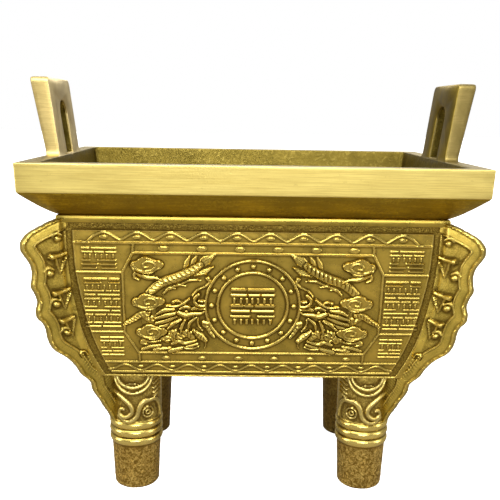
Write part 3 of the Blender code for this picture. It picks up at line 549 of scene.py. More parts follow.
# a grid averaged over some cells each way, twice
def softened(h, cells):
    for axis in (0, 1):
        for _ in range(2):
            padded = np.pad(h, [(cells, cells) if k == axis else (0, 0) for k in (0, 1)], mode="edge")
            total = np.insert(np.cumsum(padded, axis=axis), 0, 0, axis=axis)
            n = h.shape[axis]
            top = np.take(total, np.arange(2 * cells + 1, 2 * cells + 1 + n), axis=axis)
            h = (top - np.take(total, np.arange(n), axis=axis)) / (2 * cells + 1)
    return h


# how hollow and how proud each place of a relief is, against the mean of what is near and of what is wide
# round it, each as (full at this depth, share): hollows are darkened as tarnish and painted shade, proud
# places lightened as polish and painted highlight
shadeAndWear = {"near": 0.8, "wide": 2.4, "hollow": ((0.16, 0.7), (0.40, 0.6)), "proud": ((0.2, 0.5), (0.5, 0.6))}


def reliefColour(relief, step=0.4):
    h = relief["h"]
    near = softened(h, max(int(shadeAndWear["near"] / step), 1))
    wide = softened(h, max(int(shadeAndWear["wide"] / step), 2))

    def depth(lows, shares):
        return sum(np.clip(low / full, 0, 1) * share for low, (full, share) in zip(lows, shares))
    hollow = depth((near - h, wide - h), shadeAndWear["hollow"])
    proud = depth((h - near, h - wide), shadeAndWear["proud"])
    return np.stack([np.clip(hollow, 0, 1), np.clip(proud, 0, 1), relief["matt"], np.ones(h.shape)], -1)


def makePiece(name, points, faces, materials, colour=None, faceMaterial=None, sharp=35):
    mesh = bpy.data.meshes.new(name)
    mesh.from_pydata((np.asarray(points, float) * mm).tolist(), [], faces)
    for material in materials:
        mesh.materials.append(material)
    if faceMaterial is not None:
        mesh.polygons.foreach_set("material_index", np.asarray(faceMaterial, np.int32))
    if colour is not None:
        layer = mesh.attributes.new("relief", "FLOAT_COLOR", "POINT")
        layer.data.foreach_set("color", np.asarray(colour, np.float32).ravel())
    mesh.validate()
    mesh.update()
    piece = bpy.data.objects.new(name, mesh)
    bpy.context.scene.collection.objects.link(piece)
    finishPiece(piece, sharp)
    return piece


def finishPiece(piece, sharp):
    piece.data.shade_smooth()
    piece.data.set_sharp_from_angle(angle=math.radians(sharp))
    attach(piece, "root")
    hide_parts("square_ding")
    pieces.append(piece)


# faces turned outward, and points that lie together joined where asked
def turnOutward(piece, join=False):
    mesh = bmesh.new()
    mesh.from_mesh(piece.data)
    if join:
        bmesh.ops.remove_doubles(mesh, verts=mesh.verts, dist=0.01 * mm)
    bmesh.ops.recalc_face_normals(mesh, faces=mesh.faces)
    mesh.to_mesh(piece.data)
    mesh.free()


# quads of a grid of points, rows first
def gridQuads(rows, columns, wrap=False):
    i = np.arange(rows - 1)[:, None] * columns
    j = np.arange(columns if wrap else columns - 1)[None, :]
    k = (j + 1) % columns
    return np.stack([i + j, i + k, i + columns + k, i + columns + j], -1).reshape(-1, 4).tolist()


# each face as (to its right, outward)
faceDirections = {
    "frontFace": ((1, 0), (0, -1)),
    "rightFace": ((0, 1), (1, 0)),
    "backFace": ((-1, 0), (0, 1)),
    "leftFace": ((0, -1), (-1, 0)),
}
slab = {"back": -1.3, "tuck": 0.35, "lift": 0.25, "stillFront": 60.0, "stillSide": 20.0, "foot": 0.9,
        "frontStep": 0.293, "backStep": 0.7, "sideStep": 0.75}


def makeFace(name, carve, step, halves=("",)):
    right, outward = faceDirections[name]
    across = halfWidth if outward[1] else halfDepth
    reach = halfDepth if outward[1] else halfWidth
    top = across(casting["ledgeLow"])
    still = slab["stillFront"] if outward[1] else slab["stillSide"]
    # columns are fixed in the middle and drawn in towards the corners as the body tapers
    columns = np.linspace(-top, top, 2 * int(top / step) + 1)
    low, high = casting["bodyLow"] + slab["lift"], casting["ledgeLow"] + slab["tuck"]
    levels = np.linspace(low, high, int((high - low) / step))
    z = np.repeat(levels[:, None], len(columns), 1)
    spread = (across(z) - still) / (top - still)
    a = np.where(np.abs(columns) > still, np.sign(columns) * (still + (np.abs(columns) - still) * spread),
                 columns[None, :])
    relief = newRelief(a, z)
    carve(relief)
    foot = easeStep(z, casting["bodyLow"], casting["bodyLow"] + slab["foot"])
    relief["h"] -= slab["foot"] * (1 - foot) ** 2
    colour = reliefColour(relief, step)
    slope = (reach(z + 0.2) - reach(z - 0.2)) / 0.4
    stretch = np.hypot(1, slope)

    def placed(lift):
        out = reach(z) + lift / stretch
        return np.stack([right[0] * a + outward[0] * out, right[1] * a + outward[1] * out,
                         z - lift * slope / stretch], -1)
    surface, behind = placed(relief["h"]), placed(slab["back"])
    cuts = np.linspace(0, len(columns) - 1, len(halves) + 1).astype(int)
    for half, first, last in zip(halves, cuts, cuts[1:]):
        part = slice(first, last + 1)
        makeSlab(name + half, surface[:, part], behind[:, [first, last]], colour[:, part])


# a carved surface with two strips of points behind its ends, closed all round
def makeSlab(name, surface, ends, colour):
    rows, width = surface.shape[:2]
    count = rows * width
    points = np.vstack([surface.reshape(-1, 3), ends[:, 0], ends[:, 1]])
    colours = np.vstack([colour.reshape(-1, 4), np.zeros((2 * rows, 4))])
    quads = gridQuads(rows, width)
    for i in range(rows - 1):
        back = count + i
        far = count + rows + i
        quads.append([i * width, (i + 1) * width, back + 1, back])
        quads.append([(i + 1) * width - 1, far, far + 1, (i + 2) * width - 1])
        quads.append([back, back + 1, far + 1, far])
    quads.append(list(range(width - 1, -1, -1)) + [count, count + rows])
    final = (rows - 1) * width
    quads.append(list(range(final, final + width)) + [count + 2 * rows - 1, count + rows - 1])
    made = makePiece(name, points, quads, [castBrass], colours)
    print(name, "carved,", len(made.data.polygons), "faces")


# flange: a scalloped plate on the corner, thicker at its wavy edge, with teeth and balls between
flange = {
    "slant": 31.7, "root": 6.0, "grow": 0.25,
    # half its thickness by the distance in from its edge
    "section": ((0, 1.3), (0.1, 1.6), (0.4, 1.8), (0.9, 1.85), (1.3, 1.5), (1.7, 1.45), (2.2, 1.6),
                (4.8, 1.7), (5.4, 1.6), (6.0, 1.5), (6.6, 1.45)),
    "field": 1.35,
    # its edge as (height, reach beyond the vessel's corner line)
    "edge": ((152.3, -2.4), (150.6, 5.7), (146.5, 16.2), (142.8, 20.1), (138.8, 20.7), (135.2, 18.8),
             (131.0, 16.5), (127.0, 15.8), (123.4, 16.6), (119.6, 17.4), (115.8, 15.9), (112.0, 15.7),
             (108.4, 17.2), (104.4, 17.5), (100.6, 15.6), (97.6, 14.9), (93.6, 15.4), (89.8, 15.7),
             (86.0, 14.5), (82.2, 11.4), (79.0, 9.3), (75.0, 7.9), (70.6, 7.7), (67.2, 6.6),
             (63.5, 3.8), (59.0, 2.7), (55.6, 0.7), (52.0, -1.6), (47.6, -4.1), (43.4, -6.8), (39.2, -8.6)),
    # teeth as (out, up, width, drop), balls as (out, up, radius)
    "teeth": ((7.7, 134.5, 9.9, 9.6), (8.5, 116.2, 10.6, 9.4), (8.0, 101.5, 8.9, 9.5)),
    "balls": ((2.6, 142.2, 1.45), (7.9, 125.7, 1.55), (7.2, 109.8, 1.6), (5.7, 94.2, 1.35)),
    "hook": ((-0.2, 80.0), (0.2, 82.0), (2.0, 82.6), (3.4, 81.4), (3.2, 80.0)),
    "rim": 3.3, "innerLine": 5.8, "innerLineHalf": 0.55, "innerLineHeight": 0.5, "ridge": 0.7,
    "ridgeHalf": 0.5,
    "ballHeight": 1.6, "lashHeight": 1.0, "hookWidth": 1.4, "hookHeight": 1.2, "sunk": 0.1,
    "veinPitch": 1.5, "veinDepth": 0.09, "tailTop": 78, "spanPower": 1.45, "edgeTarnishAndShade": 0.2,
    # unevenness of the very edge, the surface, the hammered ridge and the grainy field between
    "ripple": ((0.16, 1.9, 21), (0.1, 0.8, 22)), "uneven": ((0.03, 2.2, 24),),
    "lumps": ((0.28, 1.7, 26), (0.168, 0.8, 27)), "grain": ((0.05, 0.6, 25),),
    # the smooth strip along the vessel as (height, width), and how it blends into the corner higher up
    "strip": ((66, 2.6), (90, 1.8), (120, 1.0), (150, 0.6)), "stripSoft": 0.4, "stripLow": (-4, 7.6),
    "blend": 0.75, "blendOut": (-1.5, 2.2), "blendUp": (84, 128), "fieldSoft": (0.3, 0.8),
    "fieldUp": (50, 60), "fieldMatt": 0.75, "edgeMatt": 0.9, "edgeSoft": (0.12, 0.25), "hollowMatt": 0.4,
    "hollowSoft": (1.0, 1.8),
    # points along its edge and in towards the vessel
    "frontGrid": (330, 56), "backGrid": (170, 26),
}


def cornerDistance(z):
    return (halfWidth(z) + halfDepth(z)) / math.sqrt(2)


def legDistance():
    return (casting["legX"] + casting["legY"]) / math.sqrt(2) + casting["legRadius"]


# edge of a flange as (distance out from the middle, height)
def flangeEdge(count):
    points = [(cornerDistance(z) + out + flange["grow"], z) for z, out in flange["edge"]]
    route = smoothRoute(points, perSpan=10)
    run = np.concatenate([[0], np.cumsum(np.hypot(*np.diff(route, axis=0).T))])
    even = np.linspace(0, run[-1], count)
    return np.stack([np.interp(even, run, route[:, 0]), np.interp(even, run, route[:, 1])], -1), even


# the relief of one side of a flange: inward is how far in from its edge, run how far along it
# and beyond how far out from the vessel
def carveFlange(relief, d, inward, run, carved):
    beyond, z = relief["a"], relief["z"]
    field = flange["field"]
    relief["h"] = along(flange["section"], inward) + layered(d, z, flange["uneven"])
    onRidge = np.exp(-((inward - flange["ridge"]) / flange["ridgeHalf"]) ** 2)
    relief["h"] += layered(run, inward, flange["lumps"]) * onRidge
    line = np.abs(inward - flange["innerLine"]) / flange["innerLineHalf"]
    relief["h"] += flange["innerLineHeight"] * hump(line) * (beyond > -1.0)
    inner = easeStep(inward - flange["innerLine"], *flange["fieldSoft"])
    stripOut = along(flange["strip"], z)
    strip = 1 - easeStep(beyond, stripOut - flange["stripSoft"], stripOut + flange["stripSoft"])
    inField = inner * (1 - strip * easeStep(z - casting["bodyLow"], *flange["stripLow"]))
    relief["h"] += layered(d, z, flange["grain"]) * inField
    onEdge = 1 - easeStep(inward, *flange["edgeSoft"])
    relief["matt"] = flange["fieldMatt"] * inField + flange["edgeMatt"] * onEdge
    relief["matt"] += flange["hollowMatt"] * easeStep(inward, *flange["hollowSoft"]) * (1 - inner)
    relief["h"] -= flange["sunk"] * inField * easeStep(z, *flange["fieldUp"])
    blend = (1 - easeStep(beyond, *flange["blendOut"])) * easeStep(z, *flange["blendUp"])
    relief["h"] -= flange["blend"] * blend
    for out, up, width, drop in flange["teeth"]:
        tooth(relief, out, up, width, drop, field)
    if not carved:
        return
    base = field - flange["sunk"]
    for out, up, r in flange["balls"]:
        dome(relief, out, up, r * 1.3, r, flange["ballHeight"], field)
        lash = [(out + 3.2, up + 1.4), (out + 0.8, up + 2.9), (out - 2.0, up + 1.7)]
        stroke(relief, lash, (1.0, 1.8, 1.2), flange["lashHeight"], base)
    stroke(relief, flange["hook"], flange["hookWidth"], flange["hookHeight"], base, over=True)
    veins = flange["veinDepth"] * np.cos(2 * math.pi * (z * 0.9 + beyond * 0.55) / flange["veinPitch"])
    relief["h"] += np.where((z < flange["tailTop"]) & (inward > flange["rim"]), veins, 0)


def makeFlange(name, signs, grid, carved):
    count, depth = grid
    edge, run = flangeEdge(count)
    # the very edge is a little wavy, as if hammered
    normal = np.gradient(edge, axis=0)
    normal = np.stack([normal[:, 1], -normal[:, 0]], -1)
    normal /= np.maximum(np.hypot(*normal.T)[:, None], 1e-9)
    edge = edge - normal * layered(run, run * 0, flange["ripple"])[:, None]

    def vesselOut(z):
        return np.where(z > casting["bodyLow"], cornerDistance(z), legDistance())
    span = np.linspace(0, 1, depth) ** flange["spanPower"]
    out, z = edge[:, 0][:, None], np.repeat(edge[:, 1][:, None], depth, 1)
    d = out + (vesselOut(z[:, :1]) - flange["root"] - out) * span
    inward, run = measureRoute(d, z, edge)[:2]
    relief = newRelief(d - vesselOut(z), z)
    carveFlange(relief, d, inward, run, carved)
    h = relief["h"]
    h[:, 0] = 0.0
    colour = reliefColour(relief, 0.35)
    # less of the hollows' darkening, tarnish and painted shade, along the very edge
    colour[:, :3, 0] *= flange["edgeTarnishAndShade"]
    root2 = math.sqrt(2)

    def placed(sideways):
        x = (d * root2 + flange["slant"]) / 2 + sideways / root2
        y = (d * root2 - flange["slant"]) / 2 - sideways / root2
        return np.stack([x * signs[0], y * signs[1], z], -1)
    # both sides share the points of the edge
    points = np.vstack([placed(h).reshape(-1, 3), placed(-h)[:, 1:].reshape(-1, 3)])
    colours = np.vstack([colour.reshape(-1, 4), colour[:, 1:].reshape(-1, 4)])
    quads = gridQuads(count, depth)

    def index(i, j):
        return i * depth if j == 0 else count * depth + i * (depth - 1) + j - 1
    for i in range(count - 1):
        for j in range(depth - 1):
            quads.append([index(i, j), index(i + 1, j), index(i + 1, j + 1), index(i, j + 1)])
        quads.append([i * depth + depth - 1, (i + 1) * depth - 1 + depth, index(i + 1, depth - 1),
                      index(i, depth - 1)])
    for i in (0, count - 1):
        quads.append([i * depth + j for j in range(depth)] + [index(i, j) for j in range(depth - 1, 0, -1)])
    made = makePiece(name, points, quads, [flangeBrass], colours)
    turnOutward(made)
    print(name, "made,", len(made.data.polygons), "faces")


# a tooth is a thick top bar with two thin sides that meet below it
def tooth(relief, out, up, width, drop, field):
    tip = (out - width * 0.52, up - drop)
    stroke(relief, [(out - width * 0.95, up - 1.0), tip], (1.1, 0.8), (1.0, 0.5), field, straight=True)
    stroke(relief, [(out - width * 0.3, up - 1.2), tip], (1.5, 0.8), (1.3, 0.5), field, straight=True)
    stroke(relief, [(out - 0.9, up - 0.7), (out - width * 0.55, up - 0.3), (out - width + 0.8, up + 0.4)],
           (2.8, 2.3, 1.8), (2.4, 1.5, 1.1), field, flat=0.35)


# legs: round posts, the front pair with three rings and carved above them. The main line, its hook
# and the eyes are across and up on the unrolled post.
leg = {
    "shankTop": 13.2, "foot": 12.1, "bevel": 0.8, "bevelShare": 0.7, "ringRadius": 14.4, "ringValley": 13.15,
    "ringSunk": 0.35, "ringGrow": 0.45, "top": 2.6, "footTop": (23.0, 26.0), "footMatt": 0.8,
    "line": 14.5, "lineTilt": 0.35, "lineHalf": 0.28, "lineDepth": 0.16,
    "panelHalf": 16, "panelMatt": 0.9, "panelGrain": 0.1, "panelDepth": 0.25, "sunk": 0.1,
    "arcs": ((9.2, 7.4), (11.2, 10.6)), "arcWidth": 1.7, "arcHeight": 1.0,
    "oval": (5.9, 3.2, 1.0), "ovalWidth": 0.8, "ovalHeight": 0.7,
    "mainWidth": (1.4, 2.2, 2.4, 2.5, 2.5, 2.4, 2.0), "hookWidth": (1.4, 2.2, 2.2, 2.0, 1.5),
    "barbWidth": (0.8, 1.3, 1.0), "curlHeight": 1.0,
    "main": ((8.3, 42.6), (4.6, 40.0), (1.6, 39.7), (-1.9, 42.3), (-3.7, 47.6), (-5.6, 50.4), (-8.2, 51.2),
             (-12.4, 51.2), (-15.3, 49.0), (-17.2, 44.6), (-17.8, 40.5)),
    "hook": ((11.4, 55.6), (8.6, 54.4), (5.0, 52.2), (1.6, 49.3), (0.3, 45.4), (2.6, 42.6), (5.6, 42.0),
             (7.8, 43.9), (6.9, 46.6), (5.0, 46.5)),
    "eye": ((-8.2, 44.9, 2.9), (-8.2, 44.9, 1.2)), "eyeWidth": 0.95, "eyeHeight": 0.7,
    "barbs": 5, "barbPitch": 2.5, "barb": ((-17.5, 55.0), (-14.6, 53.6), (-12.0, 52.3)), "barbHeight": 0.8,
    # points round it and up it
    "frontGrid": (232, 170), "backGrid": (84, 90),
}


def legRadiusAt(z, ringed):
    low, high = casting["ringsLow"], casting["ringsTop"]
    bevel = leg["bevel"] * (1 - easeStep(z, 0, leg["bevel"])) * leg["bevelShare"]
    shank = leg["foot"] + (leg["shankTop"] - leg["foot"]) * np.clip(z / low, 0, 1)
    if not ringed:
        widening = (casting["legRadius"] - leg["shankTop"]) * np.clip((z - low) / (high - low), 0, 1)
        return shank + widening - bevel
    r = np.where(z > high, casting["legRadius"], shank)
    phase = (z - low) / casting["ringPitch"]
    rings = leg["ringValley"] - leg["ringSunk"]
    rings = rings + (leg["ringRadius"] - leg["ringValley"] + leg["ringGrow"]) * hump(2 * (phase % 1) - 1)
    return np.where((phase > 0) & (phase < 3), rings, r) - bevel


def makeLeg(name, xSign, ySign, grid, carved):
    columns, rows = grid
    levels = np.linspace(0, casting["bodyLow"] + leg["top"], rows)
    angles = np.linspace(0, 2 * math.pi, columns, endpoint=False) - math.pi
    angle = np.repeat(angles[None, :], rows, 0)
    z = np.repeat(levels[:, None], columns, 1)
    relief = newRelief(angle * casting["legRadius"], z)
    # unevenness is laid round the post, so that it has no seam
    u, v = 8 * np.cos(angle), 8 * np.sin(angle)
    foot = 1 - easeStep(z, *leg["footTop"])
    onLine = np.exp(-((z - leg["line"] - leg["lineTilt"] * np.sin(angle)) / leg["lineHalf"]) ** 2)
    relief["h"] = 0.05 * unevenness(u + z, v + z * 0.7, 2.6, 31)
    relief["h"] += 0.03 * unevenness(u * 3 + z, v * 3 - z, 1.2, 32)
    relief["h"] += foot * 0.05 * unevenness(u * 1.5, v * 1.5 + z * 0.8, 0.9, 33)
    relief["h"] -= leg["lineDepth"] * onLine
    relief["h"] += foot * 0.07 * unevenness(u * 2, v * 2 + z, 0.55, 34)
    if carved:
        carveLeg(relief)
    relief["matt"] = np.maximum(relief["matt"], foot * leg["footMatt"])
    radius = legRadiusAt(z, carved) + relief["h"]
    x = xSign * (casting["legX"] + radius * np.sin(angle))
    y = ySign * (casting["legY"] + radius * np.cos(angle))
    colour = reliefColour(dict(relief, h=radius)).reshape(-1, 4)
    points = np.stack([x, y, z], -1).reshape(-1, 3)
    quads = gridQuads(rows, columns, wrap=True)
    quads.append(list(range(columns)))
    quads.append([(rows - 1) * columns + j for j in range(columns)])
    height = np.repeat(levels[:-1], columns)
    index = np.concatenate([(height < casting["ringsLow"] - 0.4).astype(int), [1, 0]])
    # the back legs take a darker copy of the foot finish, painted shade
    materials = [legBrass, footBrass] if carved else [shadedBackLegBrass, shadedBackLegBrass]
    made = makePiece(name, points, quads, materials, colour, index)
    turnOutward(made)
    print(name, "made,", len(made.data.polygons), "faces")


def carveLeg(relief):
    a, z = relief["a"], relief["z"]
    low, high = casting["bodyLow"], casting["ringsTop"]
    panel = easeStep(z, high, high + 0.8) * (np.abs(a) < leg["panelHalf"])
    relief["h"] += panel * (leg["panelGrain"] * unevenness(a, z, 0.7, 35) - leg["panelDepth"])
    relief["matt"] = panel * leg["panelMatt"]
    base = -leg["sunk"]
    for radius, drop in leg["arcs"]:
        angles = np.linspace(math.pi * 0.02, math.pi * 0.98, 13)
        points = [(radius * math.cos(t), low - drop * math.sin(t)) for t in angles]
        stroke(relief, points, leg["arcWidth"], leg["arcHeight"])
    drop, radius, half = leg["oval"]
    angles = np.linspace(0, 2 * math.pi, 17)
    points = [(radius * math.cos(t), low - drop - half * math.sin(t)) for t in angles]
    stroke(relief, points, leg["ovalWidth"], leg["ovalHeight"])
    stroke(relief, leg["main"], leg["mainWidth"], leg["curlHeight"], base, flat=0.3)
    stroke(relief, leg["hook"], leg["hookWidth"], leg["curlHeight"], base, flat=0.2)
    for across, up, radius in leg["eye"]:
        ring(relief, radius, leg["eyeWidth"], leg["eyeHeight"], across, up)
    for i in range(leg["barbs"]):
        points = [(across, up + leg["barbPitch"] * i) for across, up in leg["barb"]]
        stroke(relief, points, leg["barbWidth"], leg["barbHeight"], base)


# shell: the vessel's own walls, rim, cove and ledge, lofted as rounded rectangles
shell = {
    "under": 0.7, "rimEdge": 0.5, "cornerOut": 1.0, "cornerCove": 1.3, "cornerIn": 2.4, "cornerBody": 0.8,
    "cornerLedge": 0.7, "cornerWall": 2.6, "cornerFloor": 3.0,
    # the ledge's round edge as (how far out, share of its height)
    "ledge": ((0.3, 0.0), (0.9, 0.06), (1.15, 0.2), (1.2, 0.45), (1.15, 0.7), (0.9, 0.88), (0.3, 0.98)),
    "coveIn": 0.92, "coveUp": 1.12, "coveStep": 0.25, "rimUnder": 0.45, "mouthEdge": 0.7,
    "floorIn": 2.4, "floorUp": 2.6,
    # points along a long side, along a short side and round a corner
    "stepsWide": 44, "stepsDeep": 30, "stepsRound": 5,
    # how far its surfaces are from flat, by finish
    "bend": {"cove": 0.09, "rim": 0.02, "inside": 0.16},
}


# the levels from below the floor, up the outside, over the rim and down to the floor inside
def shellSections():
    sections = []  # half width, half depth, level, corner radius, finish

    def add(across, deep, inset, z, corner, finish):
        sections.append((across - inset, deep - inset, z, corner, finish))

    def quarter(start, count):
        turns = np.linspace(start, 1, count) * math.pi / 2
        return [(1 - math.sin(turn), 1 - math.cos(turn)) for turn in turns]
    low, ledgeLow, ledgeTop = casting["bodyLow"], casting["ledgeLow"], casting["ledgeTop"]
    rimLow, rimTop, flare = casting["rimLow"], casting["rimTop"], casting["rimFlare"]
    w0, d0 = halfWidth(low) - shell["under"], halfDepth(low) - shell["under"]
    add(w0 * 0.5, d0 * 0.5, 0, low + 0.15, 2.0, "cast")
    add(w0, d0, 2.6, low + 0.05, 1.0, "cast")
    add(w0, d0, 1.0, low + 0.1, 1.0, "cast")
    for z in np.linspace(low + 0.9, ledgeLow - 0.05, 26):
        add(halfWidth(z), halfDepth(z), shell["under"], z, shell["cornerBody"], "cast")
    w, d, neck = casting["rimWidth"] / 2, casting["rimDepth"] / 2, casting["neckInset"]
    # the ledge, in a darker copy of the cast finish: painted shade
    for out, share in shell["ledge"]:
        add(w, d, neck - out * casting["ledgeOut"], ledgeLow + (ledgeTop - ledgeLow) * share,
            shell["cornerLedge"], "ledge")
    for share in np.linspace(0.0, 1.0, 22):
        inset = flare + (neck - flare) * (1 - share ** shell["coveIn"]) + shell["coveStep"] * (share > 0.97)
        z = ledgeTop + (rimLow - ledgeTop) * share ** shell["coveUp"]
        add(w, d, inset, z, shell["cornerCove"], "cove")
    for inward, up in quarter(0.15, 5):
        add(w, d, flare + shell["rimUnder"] * inward, rimLow + shell["rimUnder"] * up,
            shell["cornerOut"], "rim")
    for share in np.linspace(0.1, 0.9, 8):
        add(w, d, flare * (1 - share), rimLow + (rimTop - rimLow) * share, shell["cornerOut"], "rim")
    for down, inward in quarter(0, 6):
        add(w, d, shell["rimEdge"] * inward, rimTop - shell["rimEdge"] * down, shell["cornerOut"], "rim")
    wall = casting["rimWall"]
    # the rim's top face, in a darker finish: painted shade
    for t in np.linspace(0, 1, 4):
        add(w, d, 1.2 + (wall - 1.9) * t, rimTop, 1.0 + t, "top")
    # down the inside, in a finish darkened as painted shade
    for outward, down in quarter(0.2, 5):
        add(w, d, wall - shell["mouthEdge"] * outward, rimTop - shell["mouthEdge"] * down,
            shell["cornerIn"], "inside")
    for z in np.linspace(rimTop - 1.5, rimLow, 9):
        add(w, d, wall + casting["lean"] * (rimTop - z), z, shell["cornerIn"], "inside")
    start = wall + casting["lean"] * (rimTop - rimLow)
    for t in np.linspace(0.12, 1, 9):
        add(w, d, start + (neck + casting["wall"] - start) * t, rimLow + (ledgeLow - rimLow) * t,
            shell["cornerWall"], "inside")
    floor, up = casting["floorTop"], shell["floorUp"]
    for t in np.linspace(0.05, 1, 20):
        z = ledgeLow + (floor + up - ledgeLow) * t
        add(halfWidth(z), halfDepth(z), casting["wall"], z, shell["cornerFloor"], "inside")
    w1, d1 = halfWidth(floor + up) - casting["wall"], halfDepth(floor + up) - casting["wall"]
    for t in (0.35, 0.7, 1.0):
        turn = t * math.pi / 2
        add(w1, d1, shell["floorIn"] * (1 - math.cos(turn)), floor + up * (1 - math.sin(turn)),
            shell["cornerFloor"], "inside")
    for t in (0.8, 0.55, 0.3):
        add(w1 * t, d1 * t, 0, floor, shell["cornerFloor"] * t, "inside")
    return sections


# points round a rounded rectangle, the same count at every level
def aroundSection(w, d, corner):
    arcs = []
    for k, (sx, sy) in enumerate(((1, -1), (1, 1), (-1, 1), (-1, -1))):
        turn = (k - 1) * math.pi / 2 + np.linspace(0, math.pi / 2, shell["stepsRound"])
        x = sx * (w - corner) + corner * np.cos(turn)
        y = sy * (d - corner) + corner * np.sin(turn)
        arcs.append(np.stack([x, y], -1))
    points = []
    for k, arc in enumerate(arcs):
        steps = shell["stepsWide"] if k % 2 else shell["stepsDeep"]
        share = np.arange(1, steps)[:, None] / steps
        points += [arc, arc[-1] + (arcs[(k + 1) % 4][0] - arc[-1]) * share]
    return np.vstack(points)


def makeShell():
    looks = {"cast": castBrass, "cove": coveBrass, "rim": rimBrass, "inside": shadedInsideBrass, "top": shadedTopBrass,
             "ledge": shadedLedgeBrass}
    order = list(looks)
    sections = shellSections()
    rows = []
    for w, d, z, corner, finish in sections:
        x, y = aroundSection(w, d, corner).T
        bend = unevenness(x + z * 2.1, y + z * 1.3, 7.0, 41)
        bend = bend + 0.5 * unevenness(x - z * 1.7, y + z * 2.3, 2.6, 42)
        size = 1 + shell["bend"].get(finish, 0.0) * bend / np.maximum(np.hypot(x, y), 1)
        rows.append(np.stack([x * size, y * size, np.full(len(x), z)], -1))
    columns = len(rows[0])
    index = []
    for section in sections[1:]:
        index += [order.index(section[-1])] * columns
    quads = gridQuads(len(rows), columns, wrap=True)
    quads.append(list(range(columns - 1, -1, -1)))
    quads.append([(len(rows) - 1) * columns + j for j in range(columns)])
    index += [order.index("cast"), order.index("inside")]
    made = makePiece("vesselShell", np.vstack(rows), quads, list(looks.values()), None, index, sharp=28)
    turnOutward(made)
    print("shell made,", len(made.data.polygons), "faces")


# handles: leaning plates with round top corners, an arched slot and a small flare at the foot
handle = {
    "width": 47.0, "corner": 3.6, "foot": 7.3, "top": 9.6, "slot": 15.4, "sill": 0.8, "crown": 11.8,
    "flare": 3.6, "bevel": 0.45, "sunk": 6.0, "inset": 0.15, "wave": ((0.12, 6.0, 51), (0.06, 2.5, 52)),
    "outerWave": 0.4, "sharp": 14,
}


# its outline and its slot as (across, up)
def handleOutlines():
    half, r, flare = handle["width"] / 2, handle["corner"], handle["flare"]
    top, foot = casting["height"], casting["rimTop"]
    turns = [(math.cos(t), math.sin(t)) for t in np.linspace(0, math.pi / 2, 9)]
    outline = [(half + flare, foot - handle["sunk"])]
    outline += [(half + flare * (1 - sine), foot + flare * (1 - cosine)) for cosine, sine in turns]
    outline += [(half - r + r * cosine, top - r + r * sine) for cosine, sine in turns]
    slotHalf = handle["slot"] / 2
    crown = top - handle["crown"] - slotHalf
    slot = [(-slotHalf, foot + handle["sill"]), (slotHalf, foot + handle["sill"])]
    slot += [(slotHalf * math.cos(t), crown + slotHalf * math.sin(t)) for t in np.linspace(0, math.pi, 17)]
    return outline + [(-y, z) for y, z in reversed(outline)], slot


# a flat plate one unit thick, with its edges rounded, as a mesh
def roundedPlate(name, outlines):
    curve = bpy.data.curves.new(name, "CURVE")
    curve.dimensions = "2D"
    curve.fill_mode = "BOTH"
    curve.extrude = 0.5 - handle["bevel"] / 8  # it is drawn out to about 8 mm later
    curve.bevel_depth = handle["bevel"]
    curve.bevel_resolution = 2
    curve.offset = -handle["bevel"]
    for points in outlines:
        spline = curve.splines.new("POLY")
        spline.points.add(len(points) - 1)
        for p, (y, z) in zip(spline.points, points):
            p.co = (y, z, 0, 1)
        spline.use_cyclic_u = True
    holder = bpy.data.objects.new(name, curve)
    bpy.context.scene.collection.objects.link(holder)
    bpy.context.view_layer.update()
    mesh = bpy.data.meshes.new_from_object(holder.evaluated_get(bpy.context.evaluated_depsgraph_get()))
    bpy.data.objects.remove(holder)
    return mesh


def makeHandle(name, side):
    top, foot = casting["height"], casting["rimTop"]
    outline, slot = handleOutlines()
    mesh = roundedPlate(name, (outline, slot))
    flat = np.array([v.co for v in mesh.vertices])
    deep = 0.5 + flat[:, 2] / (2 * np.abs(flat[:, 2]).max())  # 0 on the inner face, 1 on the outer
    y, z = flat[:, 0], flat[:, 1]
    level = np.maximum(z, foot)
    inner = casting["rimWidth"] / 2 - casting["rimWall"] + casting["lean"] * (level - foot)
    thick = handle["foot"] + (handle["top"] - handle["foot"]) * (level - foot) / (top - foot)
    (broad, size, seed), small = handle["wave"]
    wave = layered(z, y, ((broad, size, seed + side), small))
    x = inner + handle["inset"] + (thick - handle["inset"]) * deep
    x = x + wave * np.where(deep < 0.5, 1.0, handle["outerWave"])
    points = np.stack([side * x, y, z], -1)
    polygons = [list(p.vertices) for p in mesh.polygons]
    slotOut, slotTop = slot[1][0] + 0.3, max(up for _, up in slot) + 0.3
    index = []
    for polygon, normal in zip(polygons, [p.normal.copy() for p in mesh.polygons]):
        middle = points[polygon].mean(0)
        inSlot = abs(middle[1]) < slotOut and foot < middle[2] < slotTop
        index.append(1 if normal.z < -0.9 else 2 if inSlot and abs(normal.z) < 0.5 else 0)
    bpy.data.meshes.remove(mesh)
    # each side has its own copies, lighter on the left and darker on the right: painted light and painted
    # shade
    finishes = [litAndShadedHandleBrass[side], litAndShadedHandleInnerBrass[side], shadedInsideBrass]
    made = makePiece(name, points, polygons, finishes, None, index, sharp=handle["sharp"])
    turnOutward(made, join=True)
    print(name, "made,", len(made.data.polygons), "faces")


